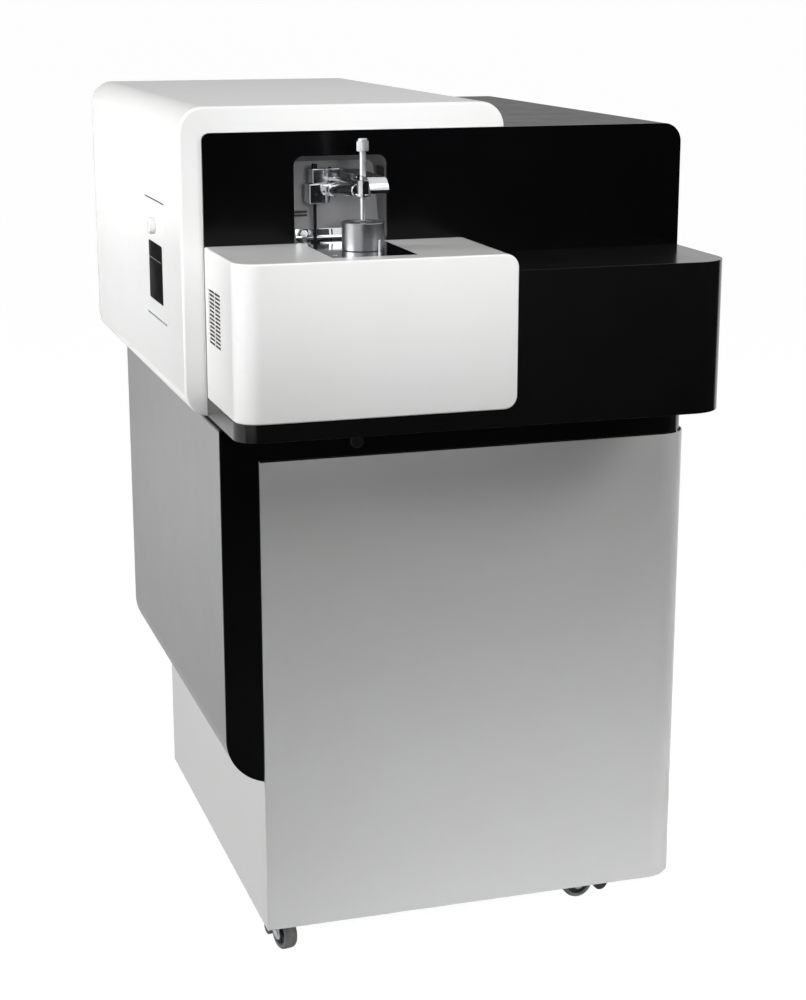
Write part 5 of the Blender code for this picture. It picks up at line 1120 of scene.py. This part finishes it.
def makeInlet():
    n = inlet
    face, middle = n["face"], sum(n["z"]) / 2
    lip = extrude(roundRect(n["x"], n["z"], n["lipR"], 6, n["lip"]), "y", face - n["lipThick"], face)
    eased(lip, 0.8, 3, choose=lambda mid: mid.y > face - 0.1)
    (x0, x1), (z0, z1), cut = n["socketX"], n["socketZ"], n["socketCut"]
    socket = [(x0, z0), (x1, z0), (x1, z1 - cut), (x1 - cut, z1), (x0 + cut, z1), (x0, z1 - cut)]
    (r0, r1), (low, high) = n["rockerX"], n["rockerZ"]
    solid = carved(fused(lip, box(n["x"], (n["back"], face - 1), n["z"])),
                   extrude(socket, "y", face - n["socketDeep"], face + 10),
                   box((r0 - 0.5, r1 + 0.5), (face - n["rockerDeep"], face + 10), (low - 0.5, high + 0.5)))
    p0, p1 = n["pinX"]
    pivot = rod(1, (p0, n["pinY"], middle), (p1, n["pinY"], middle), 16)
    standFor(merged(solid, pivot), "power_inlet")
    wide, tall = n["bladeHalf"]
    blades = [eased(box((x - wide, x + wide), (face - 20.5, face - 4), (z - tall, z + tall)), 0.4)
              for x, z in n["blades"]]
    addPiece(merged(*blades), "power_inlet", "pins", "dullBrass")
    spots = [(x, face, middle) for x in n["screwX"]]
    addPiece(screws("inlet", spots, backward), "power_inlet", "screws", "zincPlate")
    half = (high - low) / 2
    hollow = [(face + n["rockerHollow"] * (t / 6) ** 2, middle + half * t / 6) for t in range(-6, 7)]
    side = [(face - 5, low)] + hollow + [(face - 5, high), (face - 7, middle)]
    rocker = extrude(side, "x", r0, r1, [circle(n["pinY"], middle, 1.3, 16)])
    standFor(eased(rocker, 0.4), "rocker_switch")


# Gas: hex fitting with a barbed tail behind, manifold with three valves inside
gas = dict(x=220, z=160, shank=[(0, 655.3), (5.4, 655.3), (6, 656.1), (6, 697.1), (0, 697.1)],
           nuts=((697.1, "gasOuter"), (688, "gasInner")), root=702.6, tail=715.1, blockX=(616.2, 648.2),
           blockY=(300, 460), blockZ=(400, 440), stubs=(326.7, 380, 433.3), stubLong=18, barbR=6,
           barbBore=2.8, coil=[(0, 0.2), (10, 0.2), (10.6, 1), (10.6, 19), (9.8, 20), (0, 20)], coilHigh=20)


def barbed(start, end):
    # radius, height pairs of a hose barb from its root to its end
    radius, bore, length = gas["barbR"], gas["barbBore"], end - start
    points = [(0, start), (radius * 0.85, start)]
    for share in (0.30, 0.55, 0.80):
        points += [(radius * 0.80, start + length * (share - 0.14)), (radius, start + length * share)]
    return points + [(radius * 0.75, end), (bore, end), (bore, end - length * 0.6), (0, end - length * 0.6)]


def makeGas():
    g = gas
    seat = (g["x"], 0, g["z"])
    hexes = [nuts(kind, [(g["x"], low, g["z"])], backward) for low, kind in g["nuts"]]
    tail = turn(barbed(g["root"], g["tail"]), seat, "y", 40)
    standFor(merged(turn(g["shank"], seat, "y", 40), *hexes, tail), "argon_inlet")
    left, centre, middle, top = g["blockX"][0], sum(g["blockX"]) / 2, sum(g["blockZ"]) / 2, g["blockZ"][1]
    body = eased(box(g["blockX"], g["blockY"], g["blockZ"]), 1.2, 3)
    tails = [moved(turn(barbed(0, g["stubLong"]), steps=36), shiftTo((left, y, middle)) @ spin(-pi / 2, "Y"))
             for y in g["stubs"]]
    standFor(merged(body, *tails), "argon_manifold")
    coils = [turn(g["coil"], (centre, y, top), steps=40) for y in g["stubs"]]
    addPiece(merged(*coils), "argon_manifold", "coils", "blackAbs")
    spots = [(centre, y, top + g["coilHigh"]) for y in g["stubs"]]
    addPiece(nuts("valve", spots, upward), "argon_manifold", "nuts", "zincPlate")


# Filter: cartridge with a rolled base and a threaded neck, a band round its middle and a wire clip in front
filterUnit = dict(place=(-50, 192.25, 924.3), body=[(0, 0), (24, 0), (26.2, 1), (27, 2.6), (26.4, 4.6),
                  (26.4, 111), (25, 115), (21, 118.4), (16, 120), (9, 120), (9, 122)], threads=4,
                  thread=(8.4, 9), threadLow=(123.5, 124.4), threadPitch=2.2, end=[(8, 134), (0, 134)],
                  band=[(26, 50.7), (26.8, 50.7), (27, 50.9), (27, 87.5), (26.8, 87.7), (26, 87.7)],
                  pinY=(120.3, 264.2), clipX=-90, clipY=(150, 224), clipZ=1008)


def makeFilter():
    u = filterUnit
    profile = list(u["body"])
    for i in range(u["threads"]):
        profile += [(r, low + u["threadPitch"] * i) for r, low in zip(u["thread"], u["threadLow"])]
    standFor(turn(profile + u["end"], u["place"], steps=64), "filter_canister", "satinSteel")
    band = turn(u["band"], u["place"], steps=64, closed=True)
    addPiece(band, "filter_canister", "band", "greyPowderCoat")
    (x, z), (start, end) = hatch["pin"], u["pinY"]
    standFor(rod(1.5, (x, start, z), (x, end, z), 24, 0.4), "filter_hinge_pin")
    soften("filter_pocket", 0.3)
    (start, end), x, z = u["clipY"], u["clipX"], u["clipZ"]
    addPiece(rod(0.6, (x, start, z), (x, end, z), 12, 0.2), "filter_pocket", "clip", "zincPlate")


# Spark chamber with cooling grooves, electrode with its nut, ring, light tube
chamber = dict(low=1003.7, top=42, radius=30, bore=8.3, grooves=3, firstGroove=5, groovePitch=3.6,
               groove=[(26, 0.4), (26, 1.6), (30, 2), (30, 3.6)], light=1026, lightR=6,
               lightY=(-80.7, -44.7), screwAt=21, screwAngles=(45, 135, 225, 315), pinLow=991.7, nutUp=3,
               ring=[(3.3, 0), (7.4, 0), (8, 0.6), (8, 11.2), (7.2, 12), (4.2, 12), (3.3, 11.2)],
               pin=[(0, 0), (2.6, 0), (3, 0.4), (3, 45.3), (0.4, 51.1), (0, 51.3)], tube=[(6, -54.4),
               (8.6, -54.4), (9, -54), (9, 64.7), (10.4, 65.1), (10.8, 65.7), (10.8, 69.7), (10.4, 70.3),
               (9, 70.7), (9, 74.7), (6, 74.7)])


def makeChamber():
    c = chamber
    low, top, r, bore = c["low"], c["top"], c["radius"], c["bore"]
    x, y = spark
    profile = [(bore, 0), (r - 1, 0), (r, 1), (r, c["firstGroove"])]
    for i in range(c["grooves"]):
        profile += [(radius, c["firstGroove"] + c["groovePitch"] * i + rise) for radius, rise in c["groove"]]
    body = turn(profile + [(r, top - 1), (r - 1, top), (bore, top)], (x, y, low), steps=72, closed=True)
    start, end = c["lightY"]
    hole = rod(c["lightR"], (x, start, c["light"]), (x, end, c["light"]), 32)
    standFor(carved(body, hole), "spark_chamber")
    spots = [(x + c["screwAt"] * cos(radians(t)), y + c["screwAt"] * sin(radians(t)), low)
             for t in c["screwAngles"]]
    addPiece(screws("chamber", spots, downward), "spark_chamber", "screws", "blackOxide")
    standFor(turn(c["ring"], (x, y, low), steps=48, closed=True), "insulator_ring")
    nut = nuts("electrode", [(x, y, c["pinLow"] + c["nutUp"])], upward)
    standFor(merged(turn(c["pin"], (x, y, c["pinLow"]), steps=40), nut), "electrode", "satinSteel")
    standFor(turn(c["tube"], (x, 0, c["light"]), "y", 48, closed=True), "light_tube")


# Optics: cast tub, lid with its screws, detector housing with a connector
optics = dict(x=(30, 317.7), y=(75, 690), z=(821.3, 1091.3), wall=6, lid=(1091.6, 1095.6), inset=8,
              board=((80, 280), (420, 640), (1095.9, 1125.9)), vents=12, ventX=(110, 114), ventY=(450, 510),
              ventPitch=12, ventDeep=4, skin=2, plug=((150, 200), (412, 421), (1103.9, 1115.9)))


def opened(case, x, y, z, skin, *cutters):
    # hollow from below, with a wall of the skin's thickness
    return carved(case, box(x, y, (z[0] - 2 * skin, z[1]), -skin), merged(*cutters))


def makeOptics():
    o = optics
    x, y, z, wall, inset, top = o["x"], o["y"], o["z"], o["wall"], o["inset"], o["lid"][1]
    lightX, lightZ = spark[0], chamber["light"]
    light = rod(chamber["lightR"], (lightX, y[0] - wall, lightZ), (lightX, y[0] + 2 * wall, lightZ), 32)
    room = box(x, y, (z[0], z[1] + 2 * wall), -wall)
    standFor(carved(eased(box(x, y, z), 3, 3), room, light), "optics_tub")
    standFor(eased(box(x, y, o["lid"]), 1), "optics_lid")
    (x0, x1), (y0, y1) = (x[0] + inset, x[1] - inset), (y[0] + inset, y[1] - inset)
    spots = [(u, y0 + (y1 - y0) * j / 6, top) for u in (x0, x1) for j in range(7)]
    spots += [(x[0] + (x[1] - x[0]) * i / 3, v, top) for i in (1, 2) for v in (y0, y1)]
    addPiece(screws("lid", spots, upward), "optics_lid", "screws", "blackOxide")
    (start, end), high = o["ventX"], o["board"][2][1]
    steps = [o["ventPitch"] * i for i in range(o["vents"])]
    cuts = [box((start + step, end + step), o["ventY"], (high - o["ventDeep"], high + 2)) for step in steps]
    standFor(opened(eased(box(*o["board"]), 1.6, 3), *o["board"], o["skin"], *cuts), "detector_housing")
    addPiece(eased(box(*o["plug"]), 1.2), "detector_housing", "connector", "blackAbs")


# Cases on the floor pan: vents, screws and terminals
cases = {
    "spark_source": dict(x=(60, 360), y=(120, 600), z=(74.3, 274.3), slotLefts=(90, 185, 280), slotLow=110,
                         rows=8),
    "power_supply": dict(x=(380, 590), y=(120, 420), z=(74.3, 204.3), slotLefts=(405, 515), slotLow=100,
                         rows=6),
}
caseSheet = dict(skin=2, slot=4, slotLong=50, pitch=10, screwX=10, frontScrewZ=12, topScrewY=14)
terminals = dict(posts=[(150, 200), (270, 200)], sheds=3, shed=[(8.5, 6), (11.5, 9.5)], shedPitch=7,
                 postHigh=27.5, foot=[(0, 0.2), (12, 0.2), (12, 4)], head=[(6, 27.5), (0, 27.5)],
                 stud=(2.5, 38), strip=((405, 475), (132, 154), (204.5, 216.3)), screws=7,
                 screwAt=(413, 143, 216.3), screwPitch=9)


def makeCase(name, case):
    c = caseSheet
    x, y, z = case["x"], case["y"], case["z"]
    lows = [case["slotLow"] + c["pitch"] * row for row in range(case["rows"])]
    cuts = [extrude(slot(left, low, c["slotLong"], c["slot"]), "y", y[0] - 2, y[0] + 6)
            for left in case["slotLefts"] for low in lows]
    standFor(opened(eased(box(x, y, z), 1.6, 3), x, y, z, c["skin"], *cuts), name)
    sides = (x[0] + c["screwX"], x[1] - c["screwX"])
    fronts = [(u, y[0], v) for u in sides for v in (z[0] + c["frontScrewZ"], z[1] - c["frontScrewZ"])]
    tops = [(u, v, z[1]) for u in sides for v in (y[0] + c["topScrewY"], sum(y) / 2, y[1] - c["topScrewY"])]
    heads = [screws("case", fronts, frontward), screws("case", tops, upward)]
    addPiece(merged(*heads), name, "screws", "zincPlate")


def makeTerminals():
    t = terminals
    top = cases["spark_source"]["z"][1]
    posts, studs = [], []
    for x, y in t["posts"]:
        sheds = [(r, rise + t["shedPitch"] * i) for i in range(t["sheds"]) for r, rise in t["shed"]]
        posts.append(turn(t["foot"] + sheds + t["head"], (x, y, top), steps=40))
        radius, tip = t["stud"]
        high = top + t["postHigh"]
        studs += [rod(radius, (x, y, high), (x, y, top + tip), 20, 0.3), nuts("stud", [(x, y, high)], upward)]
    addPiece(merged(*posts), "spark_source", "insulators", "aluminaCeramic")
    addPiece(merged(*studs), "spark_source", "studs", "dullBrass")
    addPiece(eased(box(*t["strip"]), 1), "power_supply", "terminals", "blackAbs")
    x, y, z = t["screwAt"]
    spots = [(x + t["screwPitch"] * i, y, z) for i in range(t["screws"])]
    addPiece(screws("terminal", spots, upward), "power_supply", "terminal_screws", "dullBrass")


for name, (x, y, heading, brake) in caster["places"].items():
    makeCaster(name, x, y, heading, brake)
soften("base_shell", 0.5)
makeLockAndHinge()
makeBackPanels()
makeFan()
makeInlet()
makeGas()
makeFilter()
makeChamber()
makeOptics()
for name, case in cases.items():
    makeCase(name, case)
makeTerminals()
print("casters, back and inner units made")


for name, node in nodes.items():
    node.data.materials.clear()
    node.data.materials.append(finishFor(name))

# Floor, light and camera, in metres
studio = {"floorSize": 400.0, "floorColour": "#747474", "floorGlow": 0.465, "glowStrength": 2.12,
          "ambient": 0.02}


def seenDirectly(tree):
    rays = addNode(tree, "LightPath")
    seen = maths(tree, "MAXIMUM", rays.outputs["Is Camera Ray"], rays.outputs["Is Glossy Ray"])
    return maths(tree, "MAXIMUM", seen, rays.outputs["Is Transmission Ray"])


def makeWorld():
    world = bpy.data.worlds.new("studio")
    bpy.context.scene.world = world
    world.use_nodes = True
    tree = world.node_tree
    tree.nodes.clear()
    room = addNode(tree, "Background", {"Color": (1, 1, 1, 1), "Strength": studio["ambient"]})
    white = addNode(tree, "Background", {"Color": (1, 1, 1, 1), "Strength": 1.0})
    mix = addNode(tree, "MixShader", {0: seenDirectly(tree), 1: room.outputs[0], 2: white.outputs[0]})
    addNode(tree, "OutputWorld", {"Surface": mix.outputs[0]})


def flatPiece(name, corners, mat):
    mesh = bpy.data.meshes.new(name)
    mesh.from_pydata(corners, [], [(0, 1, 2, 3)])
    mesh.materials.append(mat)
    sheet = bpy.data.objects.new(name, mesh)
    bpy.context.scene.collection.objects.link(sheet)
    return sheet


def makeFloor():
    # the paper keeps the soft shadow; its glow, seen only directly, lifts the rest of it to white
    mat = bpy.data.materials.new("paperFloor")
    mat.use_nodes = True
    tree = mat.node_tree
    tree.nodes.clear()
    share = maths(tree, "MULTIPLY", seenDirectly(tree), studio["floorGlow"])
    paper = addNode(tree, "BsdfDiffuse", {"Color": hexToLinear(studio["floorColour"])})
    glow = addNode(tree, "Emission", {"Color": (1, 1, 1, 1), "Strength": studio["glowStrength"]})
    mix = addNode(tree, "MixShader", {0: share, 1: paper.outputs[0], 2: glow.outputs[0]})
    addNode(tree, "OutputMaterial", {"Surface": mix.outputs[0]})
    half = studio["floorSize"] / 2
    flatPiece("floor", [(-half, -half, 0), (half, -half, 0), (half, half, 0), (-half, half, 0)], mat)


lamps = {
    # name: (place, aim, width, height, power, beam in degrees)
    "frontHigh": ((-0.2, -2.3, 3.3), (0.05, -0.2, 0.6), 2.0, 2.2, 31, 180),
    "rightHigh": ((2.2, -2.4, 2.6), (0.2, -0.2, 0.6), 1.6, 1.6, 36, 180),
    "leftSoft": ((-3.6, -0.3, 1.9), (-0.3, 0.0, 1.0), 2.4, 1.8, 66, 180),
    "standSpot": ((-0.4, -3.4, 1.6), (-0.1, -0.45, 1.15), 0.8, 0.5, 0.95, 14),
    "doorSpot": ((0.5, -3.4, 0.6), (0.2, -0.27, 0.0), 1.2, 0.5, 0.90, 20),
    "hoodSpot": ((-3.2, 0.1, 1.5), (-0.37, 0.1, 1.08), 1.2, 0.5, 2.0, 26),
}
narrowBeam = 90


def makeLamps():
    for name, (spot, aim, width, height, power, beam) in lamps.items():
        data = bpy.data.lights.new(name, "AREA")
        data.shape = "RECTANGLE"
        data.size = width
        data.size_y = height
        data.energy = power
        data.spread = radians(beam)
        lamp = bpy.data.objects.new(name, data)
        lamp.location = spot
        # the narrow beams only lift the tone of a surface: their mirror image would be a hard streak
        lamp.visible_glossy = beam > narrowBeam
        lamp.rotation_mode = "QUATERNION"
        lamp.rotation_quaternion = (Vector(aim) - Vector(spot)).to_track_quat("-Z", "Y")
        bpy.context.scene.collection.objects.link(lamp)


# Cards out of view: black ones keep the gloss black deep, as in a studio, the grey one calms the whites
blackCards = {
    "cardFront": [(-0.9, -2.2, 0.0), (2.6, -2.2, 0.0), (2.6, -2.2, 1.7), (-0.9, -2.2, 1.7)],
    "cardLow": [(-0.9, -2.2, 0.002), (2.6, -2.2, 0.002), (2.6, -0.5, 0.002), (-0.9, -0.5, 0.002)],
    "cardLeft": [(-0.9, -2.2, 0.0), (-2.15, -1.1, 0.0), (-2.15, -1.1, 0.46), (-0.9, -2.2, 0.46)],
    "cardBack": [(-1.15, 1.9, 0.34), (-0.7, 1.9, 0.34), (-0.7, 1.9, 0.8), (-1.15, 1.9, 0.8)],
    "cardCorner": [(2.6, -2.2, 0.0), (1.6, -0.6, 0.0), (1.6, -0.6, 1.7), (2.6, -2.2, 1.7)],
    "cardRight": [(1.6, -0.6, 0.4), (1.6, 0.1, 0.4), (1.6, 0.1, 1.3), (1.6, -0.6, 1.3)],
}
greyCards = {
    "cardOver": [(-1.5, 2.2, 1.28), (3.0, 2.2, 1.28), (3.0, 2.2, 3.6), (-1.5, 2.2, 3.6)],
}
cardPaper = {"black": "#0a0a0a", "roughness": 0.9, "greyGlow": 0.66}


def makeCards():
    black = bpy.data.materials.new("blackCardPaper")
    black.use_nodes = True
    shader = black.node_tree.nodes["Principled BSDF"]
    shader.inputs["Base Color"].default_value = hexToLinear(cardPaper["black"])
    shader.inputs["Roughness"].default_value = cardPaper["roughness"]
    grey = bpy.data.materials.new("greyCardPaper")
    grey.use_nodes = True
    tree = grey.node_tree
    tree.nodes.clear()
    glow = addNode(tree, "Emission", {"Color": (1, 1, 1, 1), "Strength": cardPaper["greyGlow"]})
    addNode(tree, "OutputMaterial", {"Surface": glow.outputs[0]})
    for paper, group in ((black, blackCards), (grey, greyCards)):
        for name, corners in group.items():
            card = flatPiece(name, corners, paper)
            card.visible_camera = False
            card.visible_diffuse = False
            card.visible_shadow = False
            card.visible_transmission = False


# from the front left and a little above, as in the photograph
view = {"place": (-0.8778, -2.8569, 1.3850), "azimuth": 17.44, "elevation": 14.52, "lens": 71.85,
        "far": 1000.0}


def makeCamera():
    azimuth, elevation = radians(view["azimuth"]), radians(view["elevation"])
    data = bpy.data.cameras.new("camera")
    data.lens = view["lens"]
    data.sensor_width = 36.0
    data.clip_end = view["far"]
    camera = bpy.data.objects.new("camera", data)
    camera.location = view["place"]
    ahead = Vector((sin(azimuth) * cos(elevation), cos(azimuth) * cos(elevation), -sin(elevation)))
    camera.rotation_mode = "QUATERNION"
    camera.rotation_quaternion = ahead.to_track_quat("-Z", "Y")
    bpy.context.scene.collection.objects.link(camera)
    bpy.context.scene.camera = camera


makeWorld()
makeFloor()
makeLamps()
makeCards()
makeCamera()
bpy.context.scene.view_settings.view_transform = "Standard"
print("stage ready")
